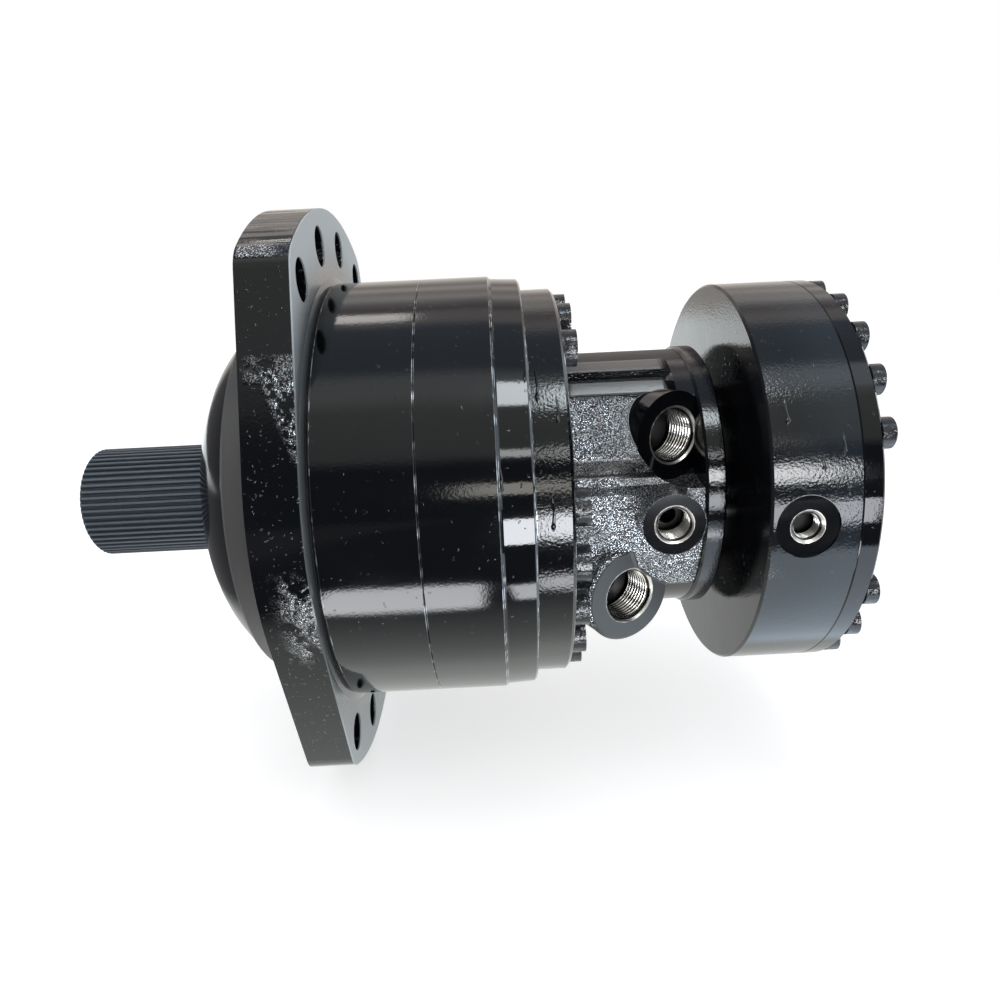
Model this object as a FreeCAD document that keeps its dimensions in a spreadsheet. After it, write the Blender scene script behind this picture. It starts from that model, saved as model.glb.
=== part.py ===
import FreeCAD, Part
import math
import os
import re
import Sketcher
from FreeCAD import Placement, Rotation, Vector

# Radial piston hydraulic drive motor with a spring applied parking brake.
# The motor axis is X. The output shaft points to -X and the brake to +X. The origin lies on the
# axis in the mounting face of the flange, and the two flange ears point to +Z and -Z.

DOC = FreeCAD.newDocument("DriveMotor")
SHEET = DOC.addObject("Spreadsheet::Sheet", "Sizes")

# Driving dimensions in millimetres and degrees.
SIZES = [
    ("fit_gap", 0.05, "radial running clearance of a fit"),
    ("free_gap", 0.3, "clearance between neighbours that do not touch"),
    ("joint_gap", 0.1, "axial play beside a seal or a loose ring"),
    # Bearing support with nose, pilot and flange
    ("nose_length", 37.6, "nose ahead of the mounting face"),
    ("nose_radius", 52.9, "rim of the nose around the shaft"),
    ("nose_root_radius", 84.2, "nose where it meets the pilot"),
    ("nose_curve", 62.0, "radius of the domed side of the nose"),
    ("pilot_length", 16.0, "pilot ahead of the mounting face"),
    ("pilot_radius", 87.8, "pilot that centres the motor"),
    ("pilot_relief_radius", 86.6, "relieved part of the pilot next to the flange"),
    ("pilot_relief", 5.8, "length of the relieved part"),
    ("pilot_chamfer", 1.5, "lead-in of the pilot"),
    ("flange_thick", 21.7, "thickness of the mounting flange"),
    ("flange_radius", 106.3, "round part of the flange"),
    ("flange_corner", 15.3, "corner radius of an ear"),
    ("flange_circle", 121.2, "radius of the circle of mounting holes"),
    ("flange_hole", 8.75, "radius of a mounting hole"),
    ("hole_angle_near", 10.0, "inner mounting holes from the middle of the ear"),
    ("hole_angle_far", 30.0, "outer mounting holes from the middle of the ear"),
    ("casing_length", 64.4, "mounting face to the cam ring"),
    ("body_radius", 103.3, "casing and cam ring"),
    ("casing_groove", 1.2, "groove behind the flange"),
    ("seam_edge", 0.4, "broken edge at the seam of casing and cam ring"),
    # Shaft and its bearings
    ("shaft_reach", 107.9, "shaft end ahead of the mounting face"),
    ("spline_teeth", 54, "teeth of the output spline"),
    ("spline_module", 1.0, "module of the output spline"),
    ("spline_runout", 2.4, "plain shaft between the spline and the seal journal"),
    ("seal_journal", 31.0, "shaft radius under the seals"),
    ("seal_radius", 42.5, "seal bore"),
    ("seal_width", 9.0, "width of the shaft seal"),
    ("dust_seal_width", 2.4, "width of the dust seal"),
    ("bearing_bore", 35.0, "shaft radius in the bearings"),
    ("bearing_radius", 55.0, "outer radius of the bearings"),
    ("bearing_width", 25.0, "width of a bearing"),
    ("cup_width", 20.0, "width of an outer race"),
    ("bearing_front", 18.0, "front bearing ahead of the mounting face"),
    ("bearing_spread", 26.0, "shaft shoulder between the bearings"),
    ("shoulder_radius", 40.0, "shaft shoulder between the bearings"),
    ("bearing_rollers", 20, "tapered rollers in a bearing"),
    ("cup_race", 46.5, "outer race radius at its thick end"),
    ("cup_rise", 5.0, "growth of the outer race over its width"),
    ("cone_race", 38.2, "inner race radius at its thin end"),
    ("cone_rise", 4.0, "growth of the inner race over the bearing width"),
    ("cone_rib_gap", 1.8, "inner race rib behind the edge of the outer race"),
    ("cage_wall", 1.4, "wall of a bearing cage"),
    ("clip_width", 2.5, "retaining ring behind the rear bearing"),
    ("clip_depth", 2.5, "depth of the retaining ring in its groove"),
    # Cam ring, cylinder block and pistons
    ("cam_width", 31.4, "width of the cam ring"),
    ("cam_lobes", 6, "lobes of the cam"),
    ("cam_low", 67.0, "smallest radius of the cam"),
    ("cam_stroke", 8.0, "piston stroke on the cam"),
    ("pistons", 8, "pistons in the block"),
    ("piston_radius", 12.0, "cylinder bore radius"),
    ("piston_length", 21.0, "length of a piston"),
    ("piston_crown", 2.2, "piston edge above the middle of its roller"),
    ("roller_radius", 6.5, "cam roller radius"),
    ("roller_length", 18.6, "cam roller length"),
    ("block_radius", 62.0, "cylinder block radius"),
    ("block_bore_floor", 38.6, "radius of the floor of a cylinder bore"),
    ("block_angle", 7.5, "angle of the first piston at rest"),
    ("block_port_radius", 3.5, "passage from a cylinder to the distributor"),
    ("port_circle", 41.0, "circle of the passages to the cylinders"),
    ("drive_teeth", 24, "teeth of the block spline"),
    ("drive_radius", 26.0, "tip radius of the block spline"),
    ("drive_tooth", 1.8, "tooth height of the block spline"),
    ("drive_length", 14.6, "length of the block spline on the shaft"),
    # Case screws and seals
    ("case_places", 22, "equal places on the case screw circle"),
    ("case_count", 20, "case screws, with two places left out"),
    ("case_circle", 85.5, "radius of the case screw circle"),
    ("case_screw", 5.0, "shank radius of a case screw"),
    ("case_head", 8.0, "head radius of a case screw"),
    ("case_head_height", 6.4, "head height of a case screw"),
    ("case_thread", 22.0, "case screw in the bearing support"),
    ("case_seal_circle", 77.6, "circle of the case seals"),
    ("seal_cord", 0.9, "cord radius of the case seals"),
    # Distribution ring and port housing
    ("ring_width", 14.1, "width of the distribution ring"),
    ("ring_step", 1.8, "distribution ring inside the round of the cam ring"),
    ("cover_thick", 15.9, "flange of the port housing"),
    ("cover_radius", 96.3, "radius of the flange of the port housing"),
    ("cover_chamfer", 1.6, "edge of the flange of the port housing"),
    ("neck_length", 60.3, "flange of the port housing to the brake"),
    ("neck_radius", 64.5, "neck of the port housing"),
    ("neck_land", 8.0, "plain round end of the neck"),
    ("neck_fillet", 3.5, "fillet between flange and neck"),
    ("rib_height", 2.0, "cast ribs above the round of the neck"),
    ("rib_valley", 2.0, "valleys between ribs below the round of the neck"),
    ("rib_ramp", 6.0, "length over which the ribs run out at the collar"),
    # Corners of the neck's cast section, in degrees above the plane of the ports
    ("lower_flat", -24.0, "lower end of the first flat"),
    ("ridge_foot", 5.0, "foot of the ridge above the first flat"),
    ("ridge_top", 9.0, "top of the ridge"),
    ("channel_low", 12.0, "lower edge of the channel above the ridge"),
    ("channel_high", 15.0, "upper edge of the channel"),
    ("upper_flat", 17.0, "round below the second flat"),
    ("flat_low", 24.0, "lower end of the second flat"),
    ("flat_high", 48.5, "upper end of the second flat"),
    ("lower_rib", 50.0, "lower edge of the lower rib"),
    ("lower_rib_end", 56.0, "upper edge of the lower rib"),
    ("groove_low", 58.0, "lower edge of the groove between the ribs"),
    ("groove_high", 62.0, "upper edge of the groove"),
    ("upper_rib", 64.0, "lower edge of the upper rib"),
    ("upper_rib_end", 70.0, "upper edge of the upper rib"),
    ("round_start", 75.0, "start of the plain round"),
    ("port_tilt", 26.5, "tilt of the two large ports toward the brake"),
    ("port_bore", 12.1, "bore radius of the large ports"),
    ("port_chamfer", 13.2, "chamfer radius of the large ports"),
    ("port_depth", 19.0, "threaded depth of the large ports"),
    ("port_passage", 7.0, "passage radius behind the large ports"),
    ("upper_setback", 11.1, "upper port ahead of the neck end"),
    ("upper_out", 48.5, "upper port face from the axis"),
    ("upper_rise", 31.7, "upper port above the axis"),
    ("upper_boss", 20.0, "radius of the upper port face"),
    ("lower_setback", 32.1, "lower port ahead of the neck end"),
    ("lower_out", 60.0, "lower port face from the axis"),
    ("lower_drop", 40.0, "lower port below the axis"),
    ("lower_boss", 22.5, "radius of the lower port boss"),
    ("drain_setback", 17.1, "drain port ahead of the neck end"),
    ("drain_out", 78.0, "drain port face from the axis"),
    ("drain_boss", 13.5, "radius of the drain port boss"),
    ("drain_bore", 7.4, "bore radius of the drain port"),
    ("drain_chamfer", 8.4, "chamfer radius of the drain port"),
    ("drain_depth", 14.0, "threaded depth of the drain port"),
    ("drain_passage", 4.0, "passage radius behind the drain port"),
    # Distributor
    ("head_radius", 57.0, "head of the distributor"),
    ("head_length", 9.0, "length of the head"),
    ("distributor_radius", 50.0, "barrel of the distributor"),
    ("distributor_length", 54.0, "length of the distributor"),
    ("distributor_bore", 27.0, "bore of the distributor"),
    ("groove_width", 8.0, "oil groove of the distributor"),
    ("groove_depth", 4.0, "depth of an oil groove"),
    ("groove_pitch", 20.0, "distance between the oil grooves"),
    ("ring_seal_width", 3.2, "sealing ring of the distributor"),
    ("ring_seal_depth", 3.0, "depth of a sealing ring groove"),
    ("spring_rise", 2.6, "space for the distributor spring"),
    ("pin_radius", 2.5, "locating pin of the distributor"),
    ("pin_circle", 53.5, "locating pin from the axis"),
    ("pin_depth", 6.0, "locating pin in each of its holes"),
    # Brake
    ("collar_radius", 65.8, "collar of the brake housing"),
    ("collar_width", 9.0, "width of the collar"),
    ("waist_radius", 45.0, "waist between collar and drum"),
    ("waist_length", 7.8, "length of the waist"),
    ("drum_radius", 94.7, "brake drum"),
    ("drum_length", 36.4, "length of the brake drum"),
    ("drum_edge", 1.0, "edge of the drum and the brake cover"),
    ("brake_wall", 5.6, "end wall of the brake drum"),
    ("disc_radius", 50.0, "outer radius of the steel discs"),
    ("disc_bore", 34.0, "inner radius of the friction discs"),
    ("steel_discs", 4, "steel discs"),
    ("steel_disc", 1.5, "thickness of a steel disc"),
    ("friction_disc", 1.8, "thickness of a friction disc"),
    ("key_radius", 4.0, "round keys of the discs"),
    ("keys", 8, "keys around a disc"),
    ("land_small", 68.0, "small land of the brake piston"),
    ("land_large", 79.6, "large land of the brake piston"),
    ("brake_bore", 38.5, "bore of the brake piston"),
    ("brake_nose", 49.0, "nose of the brake piston on the discs"),
    ("brake_step", 23.4, "drum face to the step of the bore"),
    ("brake_chamber", 2.5, "pressure chamber of the brake at rest"),
    ("brake_web", 6.0, "width of the large land"),
    ("brake_seal", 1.6, "cord radius of the brake piston seals"),
    ("spring_disc", 2.4, "thickness of the brake disc spring"),
    ("spring_bore", 40.0, "inner radius of the brake disc spring"),
    ("spring_radius", 72.0, "outer radius of the brake disc spring"),
    ("cover_plate", 8.6, "thickness of the brake cover"),
    ("brake_places", 24, "equal places on the brake cover screw circle"),
    ("brake_count", 22, "brake cover screws, with two places left out"),
    ("brake_first", 21.0, "first brake cover screw below the plane of the ports, in degrees"),
    ("brake_screw", 4.0, "shank radius of a brake cover screw"),
    ("brake_head", 6.5, "head radius of a brake cover screw"),
    ("brake_head_height", 5.5, "head height of a brake cover screw"),
    ("brake_thread", 16.0, "brake cover screw in the drum"),
    ("brake_port_setback", 15.1, "brake port behind the drum face"),
    ("brake_port_rise", 2.2, "brake port above the axis"),
    ("brake_port_face", 13.0, "spotface radius of the brake port"),
    ("brake_port_sink", 0.9, "depth of the spotface"),
    ("brake_port_bore", 5.8, "bore radius of the brake port"),
    ("brake_port_chamfer", 7.0, "chamfer radius of the brake port"),
    ("brake_port_depth", 8.6, "threaded depth of the brake port"),
    ("brake_teeth", 18, "teeth of the brake shaft"),
    ("brake_tooth", 1.4, "tooth height of the brake shaft"),
    ("face_seal_circle", 31.7, "circle of the seal between neck and brake"),
    ("face_seal", 1.1, "cord radius of the seal between neck and brake"),
    ("brake_shaft", 15.0, "radius of the brake shaft"),
    ("brake_shaft_reach", 12.0, "brake shaft in the cylinder block"),
    ("hub_radius", 33.7, "radius of the brake hub"),
    ("inner_circle", 38.5, "circle of the brake housing screws"),
    ("inner_screw", 4.0, "shank radius of a brake housing screw"),
    ("inner_head", 6.5, "head radius of a brake housing screw"),
    ("inner_head_height", 5.0, "head height of a brake housing screw"),
    ("inner_thread", 14.0, "brake housing screw in the neck"),
    ("inner_places", 8, "places of the brake housing screws"),
    ("plug_radius", 9.0, "plug in the middle of the brake cover"),
    ("plug_head", 12.0, "head radius of the plug"),
    ("plug_head_height", 4.0, "head height of the plug"),
]
for row, (alias, number, note) in enumerate(SIZES, start=1):
    SHEET.set("A%d" % row, note)
    SHEET.set("B%d" % row, str(number))
    SHEET.setAlias("B%d" % row, alias)
DOC.recompute()
ALIASES = {alias for alias, number, note in SIZES}


def bound(text):
    """The expression with each size name pointing at its cell."""
    def cell(match):
        word = match.group()
        return "Sizes." + word if word in ALIASES else word
    return re.sub(r"[a-z_]+", cell, text)


def size(text):
    """The number that an expression of size names stands for."""
    return float(SHEET.evalExpression(bound(text)))


# Stations along the axis, measured from the mounting face.
CAM_START = "casing_length"
RING_START = CAM_START + " + cam_width"
COVER_START = RING_START + " + ring_width"
NECK_START = COVER_START + " + cover_thick"
NECK_END = NECK_START + " + neck_length"
WAIST_START = NECK_END + " + collar_width"
DRUM_START = WAIST_START + " + waist_length"
DRUM_END = DRUM_START + " + drum_length"
COVER_END = DRUM_END + " + cover_plate"
DISC_START = DRUM_START + " + brake_wall"
DISC_END = DISC_START + " + steel_discs * steel_disc + (steel_discs - 1) * friction_disc"
STEP_START = DRUM_START + " + brake_step"
REAR_BEARING = "bearing_width - bearing_front + bearing_spread"
SHAFT_CLIP = REAR_BEARING + " + bearing_width"
BLOCK_START = CAM_START + " + 1"
BLOCK_END = RING_START + " - 1"
BLOCK_MIDDLE = "(%s + %s) / 2" % (BLOCK_START, BLOCK_END)
DISTRIBUTOR_START = BLOCK_END + " + fit_gap"
DISTRIBUTOR_END = DISTRIBUTOR_START + " + distributor_length"


def new_body(label, station="0"):
    """A body whose own origin lies on the motor axis at the station."""
    body = DOC.addObject("PartDesign::Body", label)
    body.Label = label
    body.setExpression("Placement.Base.x", bound(station))
    return body


def origin_feature(body, role):
    return next(item for item in body.Origin.OriginFeatures if item.Role == role)


def fix(sketch, kind, item, end, text):
    """Holds one end of a line at a distance from the origin of the sketch."""
    number = size(text)
    if abs(number) < 1e-9:
        axis = -2 if kind == "DistanceX" else -1
        sketch.addConstraint(Sketcher.Constraint("PointOnObject", item, end, axis))
        return
    place = sketch.addConstraint(Sketcher.Constraint(kind, -1, 1, item, end, number))
    sketch.setExpression("Constraints[%d]" % place, bound(text))


def arc_between(first, second, radius):
    """A short arc from first to second, bulging to the left for a positive radius."""
    chord = second - first
    middle = (first + second) * 0.5
    side = Vector(chord.y, -chord.x, 0).normalize()
    depth = math.sqrt(max(radius * radius - chord.Length ** 2 / 4, 0))
    centre = middle + side * math.copysign(depth, radius)
    start, stop = (second, first) if radius > 0 else (first, second)
    angles = [math.atan2(point.y - centre.y, point.x - centre.x) for point in (start, stop)]
    circle = Part.Circle(centre, Vector(0, 0, 1), abs(radius))
    return Part.ArcOfCircle(circle, angles[0], angles[1]), radius > 0


def profile(body, name, outline, offset=("0", "0", "0"), turn="0", role="XY_Plane"):
    """A closed sketch through the points; a third value makes the next side an arc."""
    sketch = body.newObject("Sketcher::SketchObject", name)
    sketch.AttachmentSupport = (origin_feature(body, role), [""])
    sketch.MapMode = "FlatFace"
    for axis, text in zip("xyz", offset):
        sketch.setExpression("AttachmentOffset.Base." + axis, bound(text))
    sketch.setExpression("AttachmentOffset.Rotation.Angle", bound(turn))
    points = [Vector(size(point[0]), size(point[1]), 0) for point in outline]
    starts = []
    for index, point in enumerate(outline):
        first = points[index]
        second = points[(index + 1) % len(points)]
        if len(point) == 3:
            arc, turned_round = arc_between(first, second, size(point[2]))
            item = sketch.addGeometry(arc, False)
            place = sketch.addConstraint(Sketcher.Constraint("Radius", item, abs(size(point[2]))))
            sketch.setExpression("Constraints[%d]" % place, "abs(" + bound(point[2]) + ")")
            starts.append((item, 2 if turned_round else 1))
        else:
            item = sketch.addGeometry(Part.LineSegment(first, second), False)
            starts.append((item, 1))
    for index, (item, end) in enumerate(starts):
        following, next_end = starts[(index + 1) % len(starts)]
        sketch.addConstraint(Sketcher.Constraint("Coincident", item, 3 - end, following, next_end))
        fix(sketch, "DistanceX", item, end, outline[index][0])
        fix(sketch, "DistanceY", item, end, outline[index][1])
    return sketch


def spin(body, kind, name, outline, offset=("0", "0", "0"), turn="0"):
    """Turns an outline around its own first axis, to add it or to cut it."""
    sketch = profile(body, name + "_outline", outline, offset, turn)
    feature = body.newObject("PartDesign::" + kind, name)
    feature.Profile = sketch
    feature.ReferenceAxis = (sketch, ["H_Axis"])
    feature.Angle = 360
    body.Tip = feature
    return feature


def repeat(body, feature, count, spread="360"):
    """Repeats a feature around the motor axis."""
    pattern = body.newObject("PartDesign::PolarPattern", feature.Name + "_pattern")
    pattern.Originals = [feature]
    pattern.Axis = (origin_feature(body, "X_Axis"), [""])
    pattern.setExpression("Angle", bound(spread))
    pattern.setExpression("Occurrences", bound(count))
    body.Tip = pattern
    return pattern


def turned(label, outline, station="0"):
    """A piece turned around the motor axis; the outline starts at its own left end."""
    body = new_body(label, station)
    spin(body, "Revolution", label + "_turned", outline)
    return body


def ring(label, inner, outer, width, station):
    """A plain ring."""
    return turned(label, [("0", inner), ("0", outer), (width, outer), (width, inner)], station)


def plain_hole(first, last, radius):
    return [(first, "0"), (first, radius), (last, radius), (last, "0")]


# The brake cover screws sit as far out as their heads allow. The angle of the first screw of a
# circle is counted from +Y toward +Z.
CIRCLE = {"case": "case_circle", "brake": "(drum_radius - brake_head)"}
FIRST = {"case": "180 - 180 / case_places", "brake": "180 + brake_first"}


def on_circle(circle, angle):
    """Offset of a hole on a circle, its angle counted from +Y toward +Z."""
    return ("0", "%s * cos(%s)" % (circle, angle), "%s * sin(%s)" % (circle, angle))


def screw_holes(body, name, kind, first, last, radius):
    """One hole for each screw of a circle."""
    hole = spin(body, "Groove", name, plain_hole(first, last, radius),
                on_circle(CIRCLE[kind], FIRST[kind]))
    return repeat(body, hole, kind + "_count", "(%s_count - 1) * 360 / %s_places" % (kind, kind))


# A straight sided tooth takes this share of its pitch at its root and at its tip.
TOOTH_ROOT = 0.68
TOOTH_TIP = 0.32


def toothed_face(count, tip, height):
    """A face with straight sided teeth, seen along the motor axis."""
    points = []
    root = tip - height
    corners = ((-TOOTH_ROOT, root), (-TOOTH_TIP, tip), (TOOTH_TIP, tip), (TOOTH_ROOT, root))
    for tooth in range(int(round(count))):
        for share, radius in corners:
            angle = 2 * math.pi * (tooth + share / 2) / count
            points.append(Vector(0, radius * math.cos(angle), radius * math.sin(angle)))
    return Part.Face(Part.makePolygon(points + points[:1]))


def tooth_cuts(body, name, count, low, high, share_low, share_high, first, length, middle):
    """Cuts one straight sided space at the angle middle and repeats it around the axis."""
    corners = []
    for radius, share, side in ((low, share_low, "-"), (high, share_high, "-"),
                                (high, share_high, ""), (low, share_low, "")):
        angle = "(%s + %s180 * %s / %s)" % (middle, side, share, count)
        corners.append(("(%s) * cos%s" % (radius, angle), "(%s) * sin%s" % (radius, angle)))
    sketch = profile(body, name + "_outline", corners, ("0", "0", first), role="YZ_Plane")
    pocket = body.newObject("PartDesign::Pocket", name)
    pocket.Profile = sketch
    pocket.Reversed = True
    pocket.setExpression("Length", bound(length))
    body.Tip = pocket
    return repeat(body, pocket, count)


def spline_hub(body, name, count, tip, height, first, length, middle="0"):
    """Cuts the spaces of a hub for the teeth of its shaft, with a running clearance."""
    grow = "(fit_gap * %s / (2 * pi * %s))" % (count, tip)
    return tooth_cuts(body, name, count, "%s - %s" % (tip, height), "%s + fit_gap" % tip,
                      "(%s + 2 * %s)" % (TOOTH_ROOT, grow), "(%s + 2 * %s)" % (TOOTH_TIP, grow),
                      first, length, middle)


def shape_feature(label, shape):
    feature = DOC.addObject("Part::Feature", label)
    feature.Label = label
    feature.Shape = shape
    feature.Placement = Placement()
    return feature


def axial(radius, start, length, y=0.0, z=0.0):
    """A cylinder along the motor axis."""
    return Part.makeCylinder(radius, length, Vector(start, y, z), Vector(1, 0, 0))


def around(shape, angle):
    copy = shape.copy()
    copy.rotate(Vector(0, 0, 0), Vector(1, 0, 0), angle)
    return copy


def socket_screw(head, head_height, shank, length):
    """A cap screw along +X with the seat of its head at the origin."""
    body = axial(head, 0, head_height).fuse(axial(shank, -length, length + head_height / 2))
    corners = [Vector(head_height, head * 0.6 * math.cos(math.radians(60 * k)),
                      head * 0.6 * math.sin(math.radians(60 * k))) for k in range(7)]
    socket = Part.Face(Part.makePolygon(corners)).extrude(Vector(-head_height * 0.55, 0, 0))
    return body.cut(socket).removeSplitter()


def screw_group(label, screw, seat, circle, angles):
    """Separate copies of a screw on a circle."""
    copies = []
    for angle in angles:
        copy = screw.copy()
        copy.translate(Vector(seat, circle, 0))
        copies.append(around(copy, angle))
    return shape_feature(label, Part.makeCompound(copies))


def bearing_support():
    """Casting with nose, pilot, mounting flange and the casing of the bearings."""
    body = new_body("bearing_support")
    spin(body, "Revolution", "support_turned", [
        ("-nose_length", "0"),
        ("-nose_length", "nose_radius", "nose_curve"),
        ("-pilot_length", "nose_root_radius"),
        ("-pilot_length", "pilot_radius - pilot_chamfer"),
        ("-pilot_length + pilot_chamfer", "pilot_radius"),
        ("-pilot_relief", "pilot_radius"),
        ("-pilot_relief", "pilot_relief_radius"),
        ("0", "pilot_relief_radius"),
        ("0", "flange_radius"),
        ("flange_thick", "flange_radius"),
        ("flange_thick + casing_groove", "body_radius - casing_groove"),
        ("flange_thick + 2 * casing_groove", "body_radius"),
        ("casing_length - seam_edge", "body_radius"),
        ("casing_length", "body_radius - seam_edge"),
        ("casing_length", "0"),
    ])
    ears = profile(body, "ears_outline", ear_outline(), role="YZ_Plane")
    pad = body.newObject("PartDesign::Pad", "ears")
    pad.Profile = ears
    pad.setExpression("Length", bound("flange_thick"))
    body.Tip = pad
    clip_groove = "bearing_radius + clip_depth"
    spin(body, "Groove", "support_bore", [
        ("-nose_length", "0"),
        ("-nose_length", "seal_radius"),
        ("-nose_length + dust_seal_width + seal_width + 1", "seal_radius"),
        ("-nose_length + dust_seal_width + seal_width + 1", "cup_race - 2"),
        ("-bearing_front", "cup_race - 2"),
        ("-bearing_front", "bearing_radius"),
        (SHAFT_CLIP, "bearing_radius"),
        (SHAFT_CLIP, clip_groove),
        (SHAFT_CLIP + " + clip_width", clip_groove),
        (SHAFT_CLIP + " + clip_width", "bearing_radius"),
        ("casing_length - 2", "bearing_radius"),
        ("casing_length - 2", "block_radius + 1"),
        ("casing_length", "block_radius + 1"),
        ("casing_length", "0"),
    ])
    for side in (90, 270):
        for angle in ("hole_angle_near", "-hole_angle_near", "hole_angle_far", "-hole_angle_far"):
            number = (side, angle.replace("-", "minus_"))
            spin(body, "Groove", "mounting_hole_%d_%s" % number,
                 plain_hole("0", "flange_thick", "flange_hole"),
                 on_circle("flange_circle", "%d %s" % (side, "+ " + angle if angle[0] != "-" else angle)))
    screw_holes(body, "support_thread", "case", "casing_length - case_thread - 2", "casing_length",
                "case_screw")
    return body


def ear_outline():
    """Outline of the two ears in the plane of the flange, joined across the middle."""
    lean = "acos((flange_radius - flange_corner) / flange_circle)"
    tip = "(flange_circle + flange_corner)"
    turn = "(hole_angle_far * 1 deg + %s)" % lean
    outline = []
    for across, along, outward in (("", "", True), ("-", "", False), ("-", "-", True), ("", "-", False)):
        on_round = (across + "flange_radius * sin(%s)" % turn, along + "flange_radius * cos(%s)" % turn)
        on_corner = (
            across + "(flange_circle * sin(hole_angle_far) + flange_corner * sin(%s))" % turn,
            along + "(flange_circle * cos(hole_angle_far) + flange_corner * cos(%s))" % turn)
        on_tip = (across + tip + " * sin(hole_angle_far)", along + tip + " * cos(hole_angle_far)")
        if outward:
            outline += [on_round, on_corner + ("-flange_corner",), on_tip + ("-" + tip,)]
        else:
            outline += [on_tip + ("-flange_corner",), on_corner, on_round + ("-flange_radius",)]
    return outline


def output_shaft():
    """Splined shaft with the seal journal, two bearing seats and the block spline."""
    nose = size("-nose_length")
    tip = size("spline_module * (spline_teeth + 0.8) / 2")
    spline_end = nose - 0.4
    teeth = toothed_face(size("spline_teeth"), tip, size("1.5 * spline_module"))
    teeth = teeth.extrude(Vector(spline_end + size("shaft_reach"), 0, 0))
    teeth.translate(Vector(size("-shaft_reach"), 0, 0))
    point = Part.makeCone(tip - 1.2, tip + 0.8, 2.0, Vector(size("-shaft_reach"), 0, 0), Vector(1, 0, 0))
    sleeve = axial(tip + 1, size("-shaft_reach") + 2.0, spline_end - size("-shaft_reach") - 2.0)
    teeth = teeth.common(point.fuse(sleeve))
    journal = [
        (spline_end, 0), (spline_end, tip - 1.6),
        (size("-nose_length + spline_runout"), size("seal_journal")),
        (size("-bearing_front - 1"), size("seal_journal")),
        (size("-bearing_front - 1"), size("bearing_bore")),
        (size("bearing_width - bearing_front"), size("bearing_bore")),
        (size("bearing_width - bearing_front"), size("shoulder_radius")),
        (size(REAR_BEARING), size("shoulder_radius")), (size(REAR_BEARING), size("bearing_bore")),
        (size(SHAFT_CLIP), size("bearing_bore")), (size(SHAFT_CLIP), size("drive_radius")),
        (size(BLOCK_START), size("drive_radius")), (size(BLOCK_START), 0),
    ]
    outline = Part.makePolygon([Vector(x, r, 0) for x, r in journal + journal[:1]])
    core = Part.Face(outline).revolve(Vector(0, 0, 0), Vector(1, 0, 0), 360)
    drive = toothed_face(size("drive_teeth"), size("drive_radius"), size("drive_tooth"))
    drive = drive.extrude(Vector(size("drive_length"), 0, 0))
    drive.translate(Vector(size(BLOCK_START), 0, 0))
    return shape_feature("output_shaft", teeth.fuse([core, drive]).removeSplitter())


def race_radius(kind, x):
    """Radius of a race at a place along the bearing, from the thick end of the outer race."""
    if kind == "cup":
        return size("cup_race") + size("cup_rise") * x / size("cup_width")
    return size("cone_race") + size("cone_rise") * x / size("bearing_width")


def bearing_roller_group(extra):
    """Tapered rollers of a bearing, each grown by extra."""
    start, stop = 0.2 * size("cup_width"), size("cup_width") + 0.5
    ends = []
    for x in (start, stop):
        cup, cone = race_radius("cup", x), race_radius("cone", x)
        ends.append((x, (cup + cone) / 2, (cup - cone) / 2))
    (x1, r1, gap1), (x2, r2, gap2) = ends
    tilt = math.atan2(r2 - r1, x2 - x1)
    direction = Vector(math.cos(tilt), math.sin(tilt), 0)
    length = (x2 - x1) / math.cos(tilt)
    clear = size("fit_gap")
    small, large = gap1 * math.cos(tilt) - clear + extra, gap2 * math.cos(tilt) - clear + extra
    roller = Part.makeCone(small, large, length, Vector(x1, r1, 0), direction)
    count = int(round(size("bearing_rollers")))
    return [around(roller, 360.0 * k / count) for k in range(count)]


def bearing(name, station, flipped):
    """Outer race, inner race, tapered rollers and cage of one bearing."""
    width = size("bearing_width")
    start = size(station)
    if flipped:
        spot = Placement(Vector(start + width, 0, 0), Rotation(Vector(0, 0, 1), 180))
    else:
        spot = Placement(Vector(start, 0, 0), Rotation())
    outer = turned(name + "_outer", [
        ("0", "cup_race"), ("0", "bearing_radius"), ("cup_width", "bearing_radius"),
        ("cup_width", "cup_race + cup_rise")])
    rib = "cone_race + cone_rise + 2.5"
    inner = turned(name + "_inner", [
        ("2", "bearing_bore"), ("2", "cone_race + 1.4"), ("3.2", "cone_race + 1.4"),
        ("3.2", "cone_race + cone_rise * 3.2 / bearing_width"),
        ("cup_width + cone_rib_gap", "cone_race + cone_rise * (cup_width + cone_rib_gap) / bearing_width"),
        ("cup_width + cone_rib_gap", rib), ("bearing_width", rib), ("bearing_width", "bearing_bore")])
    rollers = shape_feature(name + "_rollers", Part.makeCompound(bearing_roller_group(0.0)))
    x1, x2 = 0.1 * size("cup_width"), size("cup_width") + 2.4
    low = [(race_radius("cup", x) + race_radius("cone", x)) / 2 for x in (x1, x2)]
    wall = size("cage_wall")
    strip = [Vector(x1, low[0] + 0.2, 0), Vector(x2, low[1] + 0.2, 0),
             Vector(x2, low[1] + wall + 0.2, 0), Vector(x1, low[0] + wall + 0.2, 0)]
    shell = Part.Face(Part.makePolygon(strip + strip[:1])).revolve(Vector(), Vector(1, 0, 0), 360)
    cage = shape_feature(name + "_cage", shell.cut(bearing_roller_group(0.12)))
    for piece in (outer, inner, rollers, cage):
        piece.Placement = spot
    for piece in (outer, inner):
        side = "180" if flipped else "0"
        piece.setExpression("Placement.Base.x", bound(station + (" + bearing_width" if flipped else "")))
        piece.setExpression("Placement.Rotation.Angle", bound(side))


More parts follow.
